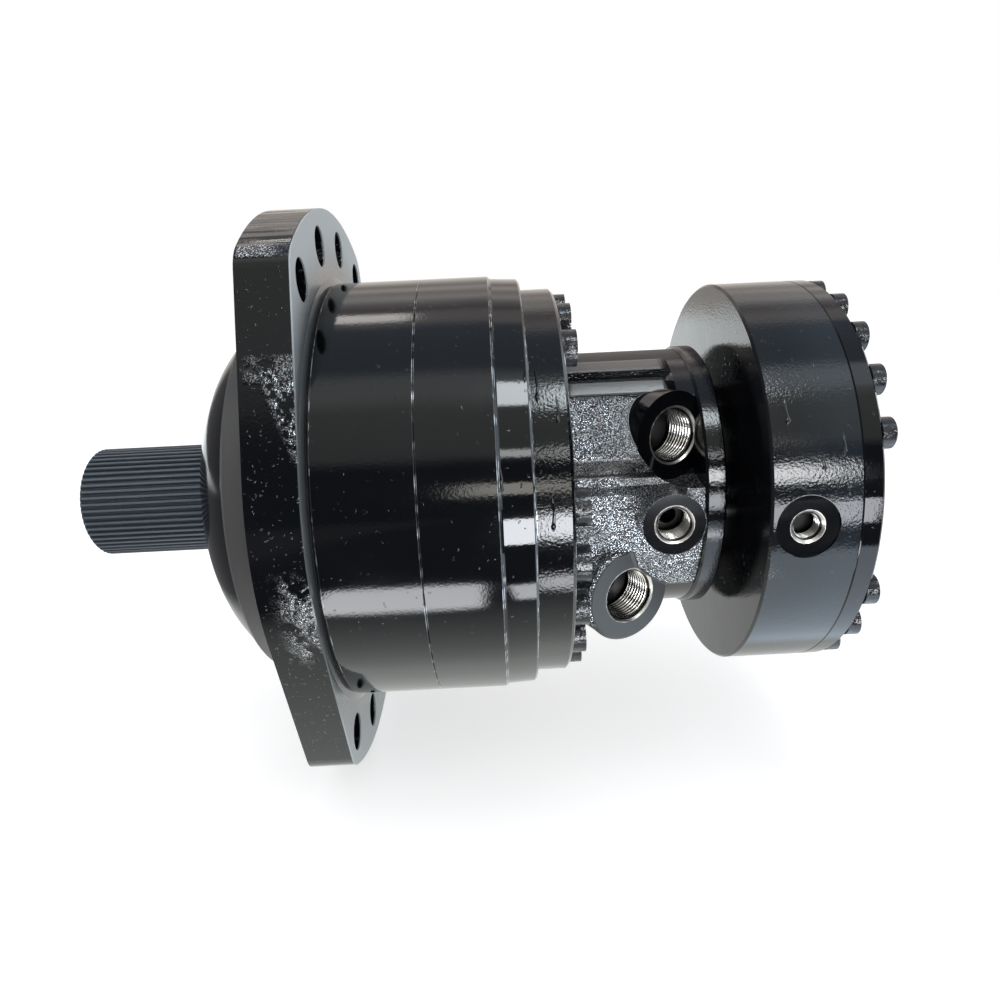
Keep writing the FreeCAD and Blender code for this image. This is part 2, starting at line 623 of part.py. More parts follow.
def cam_outline():
    """Closed curve that the cam rollers run on."""
    lobes = int(round(size("cam_lobes")))
    roller = size("roller_radius")
    middle = size("cam_low + cam_stroke / 2") - roller
    swing = size("cam_stroke") / 2
    steps = 16 * lobes
    points = []
    for step in range(steps):
        angle = 2 * math.pi * step / steps
        pitch = middle - swing * math.cos(lobes * angle)
        slope = swing * lobes * math.sin(lobes * angle)
        length = math.hypot(pitch, slope)
        out, side = roller * pitch / length, -roller * slope / length
        points.append(Vector(0, (pitch + out) * math.cos(angle) - side * math.sin(angle),
                             (pitch + out) * math.sin(angle) + side * math.cos(angle)))
    curve = Part.BSplineCurve()
    curve.interpolate(Points=points, PeriodicFlag=True)
    return Part.Wire([curve.toShape()])


def cam_ring():
    """Ring with the lobed track inside and the holes of the case screws."""
    start, width = size(CAM_START), size("cam_width")
    blank = axial(size("body_radius"), start, width)
    rims = [edge for edge in blank.Edges if edge.Length > 2 * width]
    blank = blank.makeChamfer(size("seam_edge"), rims)
    track = Part.Face(cam_outline()).extrude(Vector(width, 0, 0))
    track.translate(Vector(start, 0, 0))
    shape = blank.cut(track)
    holes = [around(axial(size("case_screw + fit_gap"), start, width, size("case_circle")), angle)
             for angle in screw_angles("case")]
    depth, cord = size("2 * seal_cord + fit_gap"), size("seal_cord + joint_gap")
    circle = size("case_seal_circle")
    for place in (start, start + width - depth):
        holes.append(axial(circle + cord, place, depth).cut(axial(circle - cord, place, depth)))
    return shape_feature("cam_ring", shape.cut(holes))


def screw_angles(kind):
    pitch = 360.0 / size(kind + "_places")
    return [size(FIRST[kind]) + pitch * k for k in range(int(round(size(kind + "_count"))))]


def cylinder_block():
    """Rotating block with radial bores, the drive spline and the passages to the distributor."""
    body = new_body("cylinder_block", BLOCK_START)
    turn = Rotation(Vector(1, 0, 0), size("block_angle"))
    body.Placement = Placement(Vector(size(BLOCK_START), 0, 0), turn)
    body.setExpression("Placement.Base.x", bound(BLOCK_START))
    body.setExpression("Placement.Rotation.Angle", bound("block_angle"))
    width = "(%s - (%s))" % (BLOCK_END, BLOCK_START)
    bore = "drive_radius - drive_tooth + fit_gap"
    shaft_bore = "brake_shaft - brake_tooth + fit_gap"
    spin(body, "Revolution", "block_turned", [
        ("0", bore), ("0", "block_radius - 4"), ("1.5", "block_radius"),
        (width + " - 1.5", "block_radius"), (width, "block_radius - 4"), (width, shaft_bore),
        (width + " - brake_shaft_reach", shaft_bore), (width + " - brake_shaft_reach", "drive_radius - 6"),
        ("drive_length + 0.5", "drive_radius - 6"), ("drive_length + 0.5", bore)])
    bores = spin(body, "Groove", "cylinder_bore",
                 plain_hole("block_bore_floor", "block_radius + 5", "piston_radius + fit_gap"),
                 (width + " / 2", "0", "0"), "90")
    repeat(body, bores, "pistons")
    feed = spin(body, "Groove", "cylinder_feed",
                plain_hole(width + " - 7", width, "block_port_radius"), ("0", "port_circle", "0"))
    repeat(body, feed, "pistons")
    spline_hub(body, "drive_space", "drive_teeth", "drive_radius", "drive_tooth", "0", "drive_length + 0.5",
               "-block_angle")
    spline_hub(body, "brake_space", "brake_teeth", "brake_shaft", "brake_tooth",
               width + " - brake_shaft_reach", "brake_shaft_reach", "-block_angle")
    return body


def piston_and_roller(index):
    """One piston with its roller, drawn in as they are while the motor freewheels."""
    angle = size("block_angle") + 360.0 / size("pistons") * index
    seat = size("cam_low - free_gap - roller_radius")
    spot = Placement(Vector(size(BLOCK_MIDDLE), 0, 0), Rotation(Vector(1, 0, 0), angle))
    top = "(cam_low - free_gap - roller_radius + piston_crown)"
    body = new_body("piston_%d" % (index + 1), BLOCK_MIDDLE)
    body.Placement = spot
    spin(body, "Revolution", "piston_%d_turned" % (index + 1), [
        (top + " - piston_length", "0"), (top + " - piston_length", "piston_radius - 3"),
        (top + " - piston_length + 1", "piston_radius - fit_gap"), (top, "piston_radius - fit_gap"),
        (top, "0")], ("0", "0", "0"), "90")
    spin(body, "Groove", "piston_%d_socket" % (index + 1),
         plain_hole("-piston_radius - 1", "piston_radius + 1", "roller_radius + fit_gap"),
         ("0", "cam_low - free_gap - roller_radius", "0"))
    roller = DOC.addObject("Part::Cylinder", "piston_roller_%d" % (index + 1))
    roller.Label = "piston_roller_%d" % (index + 1)
    roller.setExpression("Radius", bound("roller_radius"))
    roller.setExpression("Height", bound("roller_length"))
    lift = Placement(Vector(-size("roller_length") / 2, seat, 0), Rotation(Vector(0, 1, 0), 90))
    roller.Placement = spot.multiply(lift)


def distributor():
    """Fixed valve that feeds the cylinders in turn through twelve passages."""
    body = new_body("distributor", DISTRIBUTOR_START)
    first = "(head_length + 7)"
    second = first + " + groove_pitch"
    outline = [("0", "distributor_bore"), ("0", "head_radius"), ("head_length", "head_radius"),
               ("head_length", "distributor_radius")]
    bottom = "distributor_radius - groove_depth"
    for start in (first, second):
        outline += [(start, "distributor_radius"), (start, bottom),
                    (start + " + groove_width", bottom), (start + " + groove_width", "distributor_radius")]
    outline += [("distributor_length", "distributor_radius"), ("distributor_length", "distributor_bore")]
    spin(body, "Revolution", "distributor_turned", outline)
    for number, place in enumerate(seal_places()):
        floor = "distributor_radius - ring_seal_depth"
        spin(body, "Groove", "seal_groove_%d" % number, [
            (place, floor), (place, "distributor_radius + 1"),
            (place + " + ring_seal_width + 2 * joint_gap", "distributor_radius + 1"),
            (place + " + ring_seal_width + 2 * joint_gap", floor)])
    for number, (start, turn) in enumerate(((first, "0"), (second, "180 / cam_lobes"))):
        middle = "(%s + groove_width / 2)" % start
        feed = spin(body, "Groove", "feed_%d" % number, plain_hole("0", middle, "block_port_radius"),
                    on_circle("port_circle", turn))
        repeat(body, feed, "cam_lobes")
        cross = spin(body, "Groove", "cross_%d" % number,
                     plain_hole("port_circle", "distributor_radius", "block_port_radius - 0.3"),
                     (middle, "0", "0"), "90")
        if number:
            cross_turn(body, cross)
        repeat(body, cross, "cam_lobes")
    spin(body, "Groove", "pin_hole", plain_hole("head_length - pin_depth", "head_length", "pin_radius"),
         ("0", "pin_circle", "0"))
    return body


def cross_turn(body, cross):
    """Turns the sketch of a radial hole around the motor axis by half a lobe."""
    sketch = cross.Profile[0]
    half = size("180 / cam_lobes")
    place = Placement(sketch.AttachmentOffset.Base, Rotation(Vector(1, 0, 0), half))
    sketch.setExpression("AttachmentOffset.Rotation.Angle", None)
    sketch.AttachmentOffset = place.multiply(Placement(Vector(), Rotation(Vector(0, 0, 1), 90)))


def seal_places():
    """Where the sealing rings of the distributor start, beside and between its oil grooves."""
    first = "(head_length + 7)"
    before = first + " - ring_seal_width - 2 * joint_gap - 1.6"
    between = first + " + (groove_pitch + groove_width - ring_seal_width) / 2 - joint_gap"
    after = first + " + groove_pitch + groove_width + 1.6"
    return [before, between, after]


def ring_group(label, station, places, inner, outer, width):
    """Separate plain rings along the axis."""
    rings = []
    for place in places:
        start = size(station + " + " + place)
        rings.append(axial(size(outer), start, size(width)).cut(axial(size(inner), start, size(width))))
    return shape_feature(label, Part.makeCompound(rings))


def neck_outline():
    """Cast section of the neck: plain round behind, ribs and flats on the side of the ports."""
    high = "(neck_radius + rib_height)"
    low = "(neck_radius - rib_valley)"
    corners = [
        ("(-180)", "neck_radius"), ("lower_flat", "neck_radius"), ("ridge_foot", "neck_radius"),
        ("ridge_top", high), ("channel_low", low), ("channel_high", low),
        ("upper_flat", "neck_radius"), ("flat_low", "neck_radius"), ("flat_high", "neck_radius"),
        ("lower_rib", high), ("lower_rib_end", high), ("groove_low", low), ("groove_high", low),
        ("upper_rib", high), ("upper_rib_end", high), ("round_start", "neck_radius"),
    ]
    rounds = ("(-180)", "upper_flat", "lower_rib", "upper_rib", "round_start")
    outline = []
    for angle, radius in corners:
        point = ("-%s * cos(%s)" % (radius, angle), "%s * sin(%s)" % (radius, angle))
        outline.append(point + (radius,) if angle in rounds else point)
    return outline


def port_housing():
    """Cast cover with the neck, two tilted work ports and the drain port."""
    body = new_body("port_housing", COVER_START)
    neck_end = "(cover_thick + neck_length)"
    land = neck_end + " - neck_land"
    spin(body, "Revolution", "housing_turned", [
        ("0", "0"), ("0", "cover_radius"), ("cover_thick - cover_chamfer", "cover_radius"),
        ("cover_thick", "cover_radius - cover_chamfer"),
        ("cover_thick", "neck_radius + neck_fillet", "-neck_fillet"),
        ("cover_thick + neck_fillet", "neck_radius"),
        ("cover_thick + neck_fillet", "neck_radius - rib_valley - 1"),
        (land + " - rib_ramp", "neck_radius - rib_valley - 1"), (land, "neck_radius"),
        (neck_end, "neck_radius"), (neck_end, "0")])
    cast = profile(body, "neck_outline", neck_outline(), ("0", "0", "cover_thick / 2"), role="YZ_Plane")
    pad = body.newObject("PartDesign::Pad", "neck_cast")
    pad.Profile = cast
    pad.setExpression("Length", bound(land + " - cover_thick / 2"))
    body.Tip = pad
    spin(body, "Groove", "rib_ends", [
        (land + " - 1.25 * rib_ramp", "neck_radius + 1.25 * rib_height"), (land, "neck_radius"),
        (land + " + 1", "neck_radius"), (land + " + 1", "neck_radius + 1.25 * rib_height")])
    ports = {
        "upper": (neck_end + " - upper_setback", "-upper_out", "upper_rise"),
        "lower": (neck_end + " - lower_setback", "-lower_out", "-lower_drop"),
        "drain": (neck_end + " - drain_setback", "-drain_out", "0"),
    }
    inward = "90 + port_tilt"
    spin(body, "Revolution", "upper_boss", plain_hole("0", "24", "upper_boss"), ports["upper"], inward)
    spin(body, "Revolution", "lower_boss", [
        ("0", "0"), ("0", "lower_boss - 1.6"), ("1.6", "lower_boss"), ("30", "lower_boss"), ("30", "0")],
        ports["lower"], inward)
    spin(body, "Revolution", "drain_boss", plain_hole("0", "drain_out - neck_radius + 8", "drain_boss"),
         ports["drain"], "90")
    spin(body, "Groove", "neck_face", [
        (neck_end, "0"), (neck_end, "2 * neck_radius"), (neck_end + " + 30", "2 * neck_radius"),
        (neck_end + " + 30", "0")])
    spin(body, "Groove", "upper_spotface", plain_hole("-26", "0", "upper_boss + 0.6"),
         ports["upper"], inward)
    spin(body, "Groove", "housing_bore", [
        ("0", "0"), ("0", "head_radius + 1"), ("0.6", "head_radius + 1"),
        ("0.6", "distributor_radius + fit_gap"),
        (bore_end(), "distributor_radius + fit_gap"), (bore_end(), "distributor_bore"),
        (neck_end, "distributor_bore"), (neck_end, "0")])
    lead = "(port_chamfer - port_bore)"
    for name in ("upper", "lower"):
        spin(body, "Groove", name + "_port", [
            ("0", "0"), ("0", "port_chamfer"), (lead, "port_bore"), ("port_depth", "port_bore"),
            ("port_depth + port_bore / 3", "0")], ports[name], inward)
    spin(body, "Groove", "lower_passage", plain_hole("port_depth", "port_depth + 20", "port_passage"),
         ports["lower"], inward)
    spin(body, "Groove", "upper_passage",
         plain_hole("14", neck_end + " - upper_setback - 8", "port_passage - 1"),
         ("0", "-upper_out + 15", "upper_rise - 2"))
    spin(body, "Groove", "drain_port", [
        ("0", "0"), ("0", "drain_chamfer"), ("drain_chamfer - drain_bore", "drain_bore"),
        ("drain_depth", "drain_bore"), ("drain_depth", "drain_passage"),
        ("drain_out - distributor_bore + 3", "drain_passage"), ("drain_out - distributor_bore + 3", "0")],
        ports["drain"], "90")
    screw_holes(body, "cover_hole", "case", "0", "cover_thick", "case_screw + fit_gap")
    screw_holes(body, "head_seat", "case", "cover_thick", "cover_thick + case_head_height + 1.5",
                "case_head + 0.6")
    spin(body, "Groove", "pin_hole", plain_hole("0", "pin_depth", "pin_radius"), ("0", "pin_circle", "0"))
    inner_holes(body, "neck_thread", neck_end + " - inner_thread - 2", neck_end, "inner_screw")
    return body


def bore_end():
    """End of the distributor bore, counted from the face of the port housing."""
    return "(%s - (%s) + spring_rise)" % (DISTRIBUTOR_END, COVER_START)


INNER_FIRST = "180 + 180 / inner_places"
INNER_SPREAD = "(inner_places - 2) * 360 / inner_places"


def inner_holes(body, name, first, last, radius):
    """Holes of the brake housing screws, with one place left out beside the upper port."""
    hole = spin(body, "Groove", name, plain_hole(first, last, radius),
                on_circle("inner_circle", INNER_FIRST))
    return repeat(body, hole, "inner_places - 1", INNER_SPREAD)


def distribution_ring():
    """Stepped ring between the cam ring and the port housing."""
    body = new_body("distribution_ring", RING_START)
    radius = "body_radius - ring_step"
    spin(body, "Revolution", "ring_turned", [
        ("0", "head_radius + 1"), ("0", "body_radius - 0.6"), ("1.2", radius + " + 0.6"),
        ("ring_width - 1", radius), ("ring_width", radius + " - 1"),
        ("ring_width", "head_radius + 1")])
    spin(body, "Groove", "ring_seal_groove", [
        ("ring_width - 2 * seal_cord - fit_gap", "case_seal_circle - seal_cord - joint_gap"),
        ("ring_width - 2 * seal_cord - fit_gap", "case_seal_circle + seal_cord + joint_gap"),
        ("ring_width", "case_seal_circle + seal_cord + joint_gap"),
        ("ring_width", "case_seal_circle - seal_cord - joint_gap")])
    screw_holes(body, "ring_hole", "case", "0", "ring_width", "case_screw + fit_gap")
    return body


def cord_ring(label, circle, cord, station):
    """A round sealing cord around the axis."""
    seal = DOC.addObject("Part::Torus", label)
    seal.Label = label
    seal.setExpression("Radius1", bound(circle))
    seal.setExpression("Radius2", bound(cord))
    seal.Placement = Placement(Vector(size(station), 0, 0), Rotation(Vector(0, 1, 0), 90))
    seal.setExpression("Placement.Base.x", bound(station))
    return seal


def brake_housing():
    """Collar, waist and drum of the brake with the bores of its discs and its piston."""
    body = new_body("brake_housing", NECK_END)
    drum = "(collar_width + waist_length)"
    drum_end = drum + " + drum_length"
    step = drum + " + brake_step"
    wall = drum + " + brake_wall"
    floor = "disc_radius + free_gap"
    small = step + " - 7"
    spin(body, "Revolution", "brake_turned", [
        ("0", "0"), ("0", "collar_radius - 1"), ("1", "collar_radius"),
        ("collar_width - 1", "collar_radius"),
        ("collar_width", "collar_radius - 1"), ("collar_width", "waist_radius"), (drum, "waist_radius"),
        (drum, "drum_radius - drum_edge"), (drum + " + drum_edge", "drum_radius"),
        (drum_end + " - 0.4", "drum_radius"), (drum_end, "drum_radius - 0.4"), (drum_end, "0")])
    spin(body, "Groove", "brake_bore", [
        ("0", "0"), ("0", "distributor_bore"), (wall, "distributor_bore"), (wall, floor),
        (small, floor), (small, "land_small + fit_gap"), (step, "land_small + fit_gap"),
        (step, "land_large + fit_gap"), (drum_end, "land_large + fit_gap"), (drum_end, "0")])
    key = spin(body, "Groove", "disc_key", plain_hole(wall, small, "key_radius + free_gap"),
               ("0", "disc_radius", "0"))
    repeat(body, key, "keys")
    spin(body, "Groove", "face_seal_groove", [
        ("0", "face_seal_circle - face_seal - joint_gap"),
        ("0", "face_seal_circle + face_seal + joint_gap"),
        ("2 * face_seal", "face_seal_circle + face_seal + joint_gap"),
        ("2 * face_seal", "face_seal_circle - face_seal - joint_gap")])
    inner_holes(body, "inner_hole", "0", wall, "inner_screw + fit_gap")
    inner_holes(body, "inner_sink", wall + " - inner_head_height - 0.4", wall, "inner_head + 0.2")
    face = ("%s + brake_port_setback" % drum, "-drum_radius + brake_port_sink", "brake_port_rise")
    spin(body, "Groove", "brake_spotface", plain_hole("-4", "0", "brake_port_face"), face, "90")
    spin(body, "Groove", "brake_port", [
        ("0", "0"), ("0", "brake_port_chamfer"),
        ("brake_port_chamfer - brake_port_bore", "brake_port_bore"),
        ("brake_port_depth", "brake_port_bore"), ("brake_port_depth", "0")], face, "90")
    feed = (step + " + brake_chamber / 2", face[1], face[2])
    spin(body, "Groove", "brake_feed",
         plain_hole("0", "drum_radius - land_large + 1", "brake_chamber / 2 - 0.1"), feed, "90")
    screw_holes(body, "brake_thread", "brake", drum_end + " - brake_thread - 2", drum_end,
                "brake_screw")
    return body


def disc_groups():
    """Steel discs keyed to the housing and friction discs keyed to the hub, laid in turn."""
    count = int(round(size("steel_discs")))
    pitch = size("steel_disc + friction_disc")
    start = size(DISC_START)
    keys = range(int(round(size("keys"))))
    turn = 360.0 / len(keys)
    steel, friction = [], []
    for index in range(count):
        thick, place = size("steel_disc"), start + pitch * index
        disc = axial(size("disc_radius"), place, thick)
        disc = disc.fuse([around(axial(size("key_radius"), place, thick, size("disc_radius")), turn * k)
                          for k in keys])
        bore = axial(size("hub_radius + key_radius + free_gap"), place, thick)
        steel.append(disc.cut(bore).removeSplitter())
        if index == count - 1:
            break
        thick, place = size("friction_disc"), place + size("steel_disc")
        disc = axial(size("disc_radius - 1.5"), place, thick)
        inside = axial(size("disc_bore"), place, thick)
        key = axial(size("key_radius") - 0.2, place, thick, size("hub_radius"))
        inside = inside.fuse([around(key, turn * k) for k in keys])
        friction.append(disc.cut(inside))
    shape_feature("steel_discs", Part.makeCompound(steel))
    shape_feature("friction_discs", Part.makeCompound(friction))


def brake_hub():
    """Hub that carries the friction discs on round keys."""
    body = new_body("brake_hub", DISC_START)
    length = "(%s - (%s) + 1)" % (DISC_END, DISC_START)
    spin(body, "Revolution", "hub_turned", [
        ("0", "brake_shaft - brake_tooth + fit_gap"), ("0", "hub_radius"), (length, "hub_radius"),
        (length, "brake_shaft - brake_tooth + fit_gap")])
    key = spin(body, "Revolution", "hub_key", plain_hole("0", length, "key_radius - 0.5"),
               ("0", "hub_radius", "0"))
    repeat(body, key, "keys")
    spline_hub(body, "hub_space", "brake_teeth", "brake_shaft", "brake_tooth", "0", length)
    return body


def brake_piston():
    """Stepped ring piston that the oil moves against the disc spring."""
    body = new_body("brake_piston", DISC_END)
    step = "(%s + brake_chamber - (%s))" % (STEP_START, DISC_END)
    back = step + " + brake_web"
    seal = "(2 * brake_seal + 0.4)"
    spin(body, "Revolution", "brake_piston_turned", [
        ("0", "brake_bore"), ("0", "brake_nose"), ("0.5", "brake_nose"), ("0.5", "land_small"),
        (step, "land_small"), (step, "land_large"), (back, "land_large"), (back, "brake_bore")])
    small = step + " - brake_chamber - 4.6"
    large = step + " + (brake_web - %s) / 2" % seal
    for name, start, land in (("small", small, "land_small"), ("large", large, "land_large")):
        floor = land + " - 2 * brake_seal"
        spin(body, "Groove", name + "_seal_groove", [
            (start, floor), (start, land + " + 1"), (start + " + " + seal, land + " + 1"),
            (start + " + " + seal, floor)])
        circle = land + " - brake_seal + fit_gap / 2"
        middle = " + ".join((DISC_END, start, seal)) + " / 2"
        cord_ring("brake_seal_" + name, circle, "brake_seal", middle)
    return body


def brake_parts():
    """Spring, cover, shaft and the small pieces of the brake."""
    piston_back = "(%s + brake_chamber + brake_web)" % STEP_START
    space = "(%s - %s)" % (DRUM_END, piston_back)
    turned("disc_spring", [
        ("0", "spring_bore"), ("0", "spring_bore + 1"), (space + " - spring_disc", "spring_radius"),
        (space, "spring_radius"), (space, "spring_radius - 1"),
        ("spring_disc", "spring_bore")], piston_back)
    cover = turned("brake_cover", [
        ("0", "plug_radius"), ("0", "drum_radius - 0.4"), ("0.4", "drum_radius"),
        ("cover_plate - drum_edge", "drum_radius"), ("cover_plate", "drum_radius - drum_edge"),
        ("cover_plate", "plug_radius")], DRUM_END)
    screw_holes(cover, "cover_screw_hole", "brake", "0", "cover_plate", "brake_screw + fit_gap")
    plug = new_body("brake_cover_plug", COVER_END)
    spin(plug, "Revolution", "plug_turned", [
        ("-cover_plate", "0"), ("-cover_plate", "plug_radius"), ("0", "plug_radius"), ("0", "plug_head"),
        ("plug_head_height - 0.6", "plug_head"), ("plug_head_height", "plug_head - 0.6"),
        ("plug_head_height", "0")])
    spin(plug, "Groove", "plug_socket",
         plain_hole("plug_head_height - 4.5", "plug_head_height", "plug_radius / 2"))
    block_end = "(%s - brake_shaft_reach)" % BLOCK_END
    shaft_end = "(%s + 3.5)" % DISC_END
    length = "(%s - %s)" % (shaft_end, block_end)
    root = "brake_shaft - brake_tooth"
    shaft = turned("brake_shaft", [
        ("0", "0"), ("0", "brake_shaft - 1"), ("1", "brake_shaft"),
        ("brake_shaft_reach + 2", "brake_shaft"),
        ("brake_shaft_reach + 5", "brake_shaft - 3"), (length + " - 30", "brake_shaft - 3"),
        (length + " - 27", "brake_shaft"), (length + " - 2.5", "brake_shaft"),
        (length + " - 2.5", "brake_shaft - 1.5"), (length + " - 1", "brake_shaft - 1.5"),
        (length + " - 1", "brake_shaft"), (length, "brake_shaft"), (length, "0")], block_end)
    slack = "fit_gap * brake_teeth / (2 * pi * brake_shaft)"
    narrow = "(%s + %s)" % (1 - TOOTH_ROOT, slack)
    wide = "(%s + %s / 4 + %s)" % (1 - TOOTH_TIP, TOOTH_ROOT - TOOTH_TIP, slack)
    for name, first, span in (("front", "0", "brake_shaft_reach + 5"), ("rear", length + " - 30", "30")):
        tooth_cuts(shaft, name + "_space", "brake_teeth", root, "brake_shaft + brake_tooth / 4",
                   narrow, wide, first, span, "180 / brake_teeth")
    ring("hub_clip", "brake_shaft - 1.5", "brake_shaft + 2.5", "1.5", shaft_end + " - 2.5")


def small_rings():
    """Shaft seals, retaining ring, distributor spring, pin and the cord seals."""
    lip = "seal_journal + fit_gap"
    turned("dust_seal", [
        ("0", lip), ("0", "seal_journal + 3"), ("0.6", "seal_radius"), ("dust_seal_width", "seal_radius"),
        ("dust_seal_width", "seal_journal + 2"), ("1", lip)], "-nose_length + spline_runout")
    turned("shaft_seal", [
        ("0", "seal_journal + 2"), ("0", "seal_radius"), ("seal_width", "seal_radius"),
        ("seal_width", "seal_radius - 2"), ("2", "seal_radius - 2"), ("2", "seal_journal + 4"),
        ("seal_width - 1", "seal_journal + 4"), ("seal_width - 1", "seal_journal + 2"),
        ("seal_width - 3.5", lip), ("seal_width - 4.5", lip)],
        "-nose_length + spline_runout + dust_seal_width")
    ring("bearing_clip", "bearing_radius - 4", "bearing_radius + clip_depth", "clip_width", SHAFT_CLIP)
    turned("distributor_spring", [
        ("0", "distributor_radius - 12"), ("0", "distributor_radius - 11"),
        ("spring_rise - 1.4", "distributor_radius - 1"), ("spring_rise", "distributor_radius - 1"),
        ("spring_rise", "distributor_radius - 2"), ("1.4", "distributor_radius - 12")], DISTRIBUTOR_END)
    pin_start = "(%s + head_length - pin_depth)" % DISTRIBUTOR_START
    pin = new_body("distributor_pin", pin_start)
    spin(pin, "Revolution", "pin_turned",
         plain_hole("0", "%s + pin_depth - %s" % (COVER_START, pin_start), "pin_radius"),
         ("0", "pin_circle", "0"))
    cord_ring("brake_housing_seal", "face_seal_circle", "face_seal", NECK_END + " + face_seal")
    cord_ring("case_seal_front", "case_seal_circle", "seal_cord", CAM_START + " + seal_cord")
    cord_ring("case_seal_middle", "case_seal_circle", "seal_cord", RING_START + " - seal_cord")
    cord_ring("case_seal_rear", "case_seal_circle", "seal_cord", COVER_START + " - seal_cord")


def screws():
    """Cap screws of the case, the brake cover and the brake housing."""
    case = socket_screw(size("case_head"), size("case_head_height"), size("case_screw"),
                        size(NECK_START + " - casing_length + case_thread"))
    screw_group("case_screws", case, size(NECK_START), size(CIRCLE["case"]), screw_angles("case"))
    brake = socket_screw(size("brake_head"), size("brake_head_height"), size("brake_screw"),
                         size("cover_plate + brake_thread"))
    screw_group("brake_cover_screws", brake, size(COVER_END), size(CIRCLE["brake"]),
                screw_angles("brake"))
    seat = "collar_width + waist_length + brake_wall - inner_head_height - 0.4"
    inner = socket_screw(size("inner_head"), size("inner_head_height"), size("inner_screw"),
                         size(seat + " + inner_thread"))
    pitch = size("360 / inner_places")
    angles = [size(INNER_FIRST) + pitch * k for k in range(int(round(size("inner_places"))) - 1)]
    screw_group("brake_housing_screws", inner, size(DISC_START + " - inner_head_height - 0.4"),
                size("inner_circle"), angles)


bearing_support()
output_shaft()
bearing("front_bearing", "-bearing_front", False)
bearing("rear_bearing", REAR_BEARING, True)
cam_ring()
cylinder_block()
for piston in range(int(round(size("pistons")))):
    piston_and_roller(piston)
distribution_ring()
distributor()
ring_group("distributor_seals", DISTRIBUTOR_START, [place + " + joint_gap" for place in seal_places()],
           "distributor_radius - ring_seal_depth", "distributor_radius + fit_gap / 2", "ring_seal_width")
port_housing()
brake_housing()
disc_groups()
brake_hub()
brake_piston()
brake_parts()
small_rings()
screws()
DOC.recompute()

os.makedirs("parts", exist_ok=True)
for item in DOC.Objects:
    if "Invalid" in item.State or "Error" in item.State:
        raise RuntimeError("%s is in state %s" % (item.Label, item.State))
nodes = [item for item in DOC.RootObjects if hasattr(item, "Shape")]
for node in nodes:
    if node.Shape.isNull() or not node.Shape.isValid():
        raise RuntimeError("%s has a bad shape" % node.Label)
    node.Shape.exportStep("parts/%s.step" % node.Label)
print("%d nodes" % len(nodes))
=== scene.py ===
# %% [markdown]
# # A hydraulic drive motor in gloss black paint
# The motor lies on its side: the shaft points to -X, the brake to +X and the ports look along -Y.
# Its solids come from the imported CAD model, in metres, and stay where they are. This lesson gives
# them their finishes, and adds what CAD leaves out: screw threads, runs in the paint and cast skin.

import math
import random

import bpy
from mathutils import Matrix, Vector


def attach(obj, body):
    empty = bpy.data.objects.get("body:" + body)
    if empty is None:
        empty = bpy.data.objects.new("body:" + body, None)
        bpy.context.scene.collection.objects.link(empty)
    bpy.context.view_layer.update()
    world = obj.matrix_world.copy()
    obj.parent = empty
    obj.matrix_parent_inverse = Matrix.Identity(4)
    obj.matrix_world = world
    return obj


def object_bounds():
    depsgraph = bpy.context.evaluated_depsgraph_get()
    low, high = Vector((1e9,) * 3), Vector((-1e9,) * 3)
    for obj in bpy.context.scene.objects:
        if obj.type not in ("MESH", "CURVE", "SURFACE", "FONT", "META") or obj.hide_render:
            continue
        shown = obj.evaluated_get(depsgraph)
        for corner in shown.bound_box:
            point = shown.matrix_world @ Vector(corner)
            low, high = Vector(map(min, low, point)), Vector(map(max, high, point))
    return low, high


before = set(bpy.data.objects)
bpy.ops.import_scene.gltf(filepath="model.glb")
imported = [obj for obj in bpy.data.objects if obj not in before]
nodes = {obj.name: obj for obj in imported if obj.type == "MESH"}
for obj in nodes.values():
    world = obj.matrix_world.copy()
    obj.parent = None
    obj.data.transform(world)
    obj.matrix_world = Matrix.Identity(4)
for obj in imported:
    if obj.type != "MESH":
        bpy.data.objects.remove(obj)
cad_low, cad_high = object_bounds()
print("nodes:", len(nodes), "box in mm:", [round(1000 * side, 1) for side in cad_high - cad_low])

# %% [markdown]
# ## The camera
# A close camera gives strong perspective: the near flange looks larger than the far brake. The place
# and the three angles were solved from the ellipses and straight edges of the motor.

# %% The camera
CAMERA_PLACE = (0.0950, -0.3545, 0.1011)
CAMERA_ANGLES = (72.634, 2.607, -1.073)
LENS_MM = 25.25

camera_data = bpy.data.cameras.new("camera")
camera_data.lens = LENS_MM
camera_data.sensor_width = 36.0
camera_data.clip_start = 0.01
camera = bpy.data.objects.new("camera", camera_data)
camera.location = CAMERA_PLACE
camera.rotation_euler = [math.radians(angle) for angle in CAMERA_ANGLES]
bpy.context.scene.collection.objects.link(camera)
bpy.context.scene.camera = camera
bpy.context.scene.view_settings.view_transform = "Standard"
print("camera at", CAMERA_PLACE)

# %% [markdown]
# ## Shader sums in Python
# A finish is a tree of nodes. Wrapping a socket in a small class lets a sum such as `1 - mask` add its
# own Math node, so a material reads like the few lines of arithmetic that it is.


# %% A socket that takes part in sums
class Value:
    def __init__(self, tree, socket):
        self.tree = tree
        self.socket = socket

    def math(self, operation, *others):
        return self.tree.sum(operation, self, *others)

    def __add__(self, other):
        return self.math("ADD", other)

    def __sub__(self, other):
        return self.math("SUBTRACT", other)

    def __rsub__(self, other):
        return self.tree.sum("SUBTRACT", other, self)

    def __mul__(self, other):
        return self.math("MULTIPLY", other)

    def rise(self, start, end):
        """0 before start and 1 after end, with a soft step between. It falls if end is below start."""
        sockets = {"Value": self, "From Min": start, "From Max": end}
        return self.tree.node("ShaderNodeMapRange", {"interpolation_type": "SMOOTHSTEP"}, sockets)

    def between(self, start, end, soft):
        """1 from start to end, and 0 outside, with edges that are soft wide."""
        return self.rise(start - soft, start) * self.rise(end + soft, end)


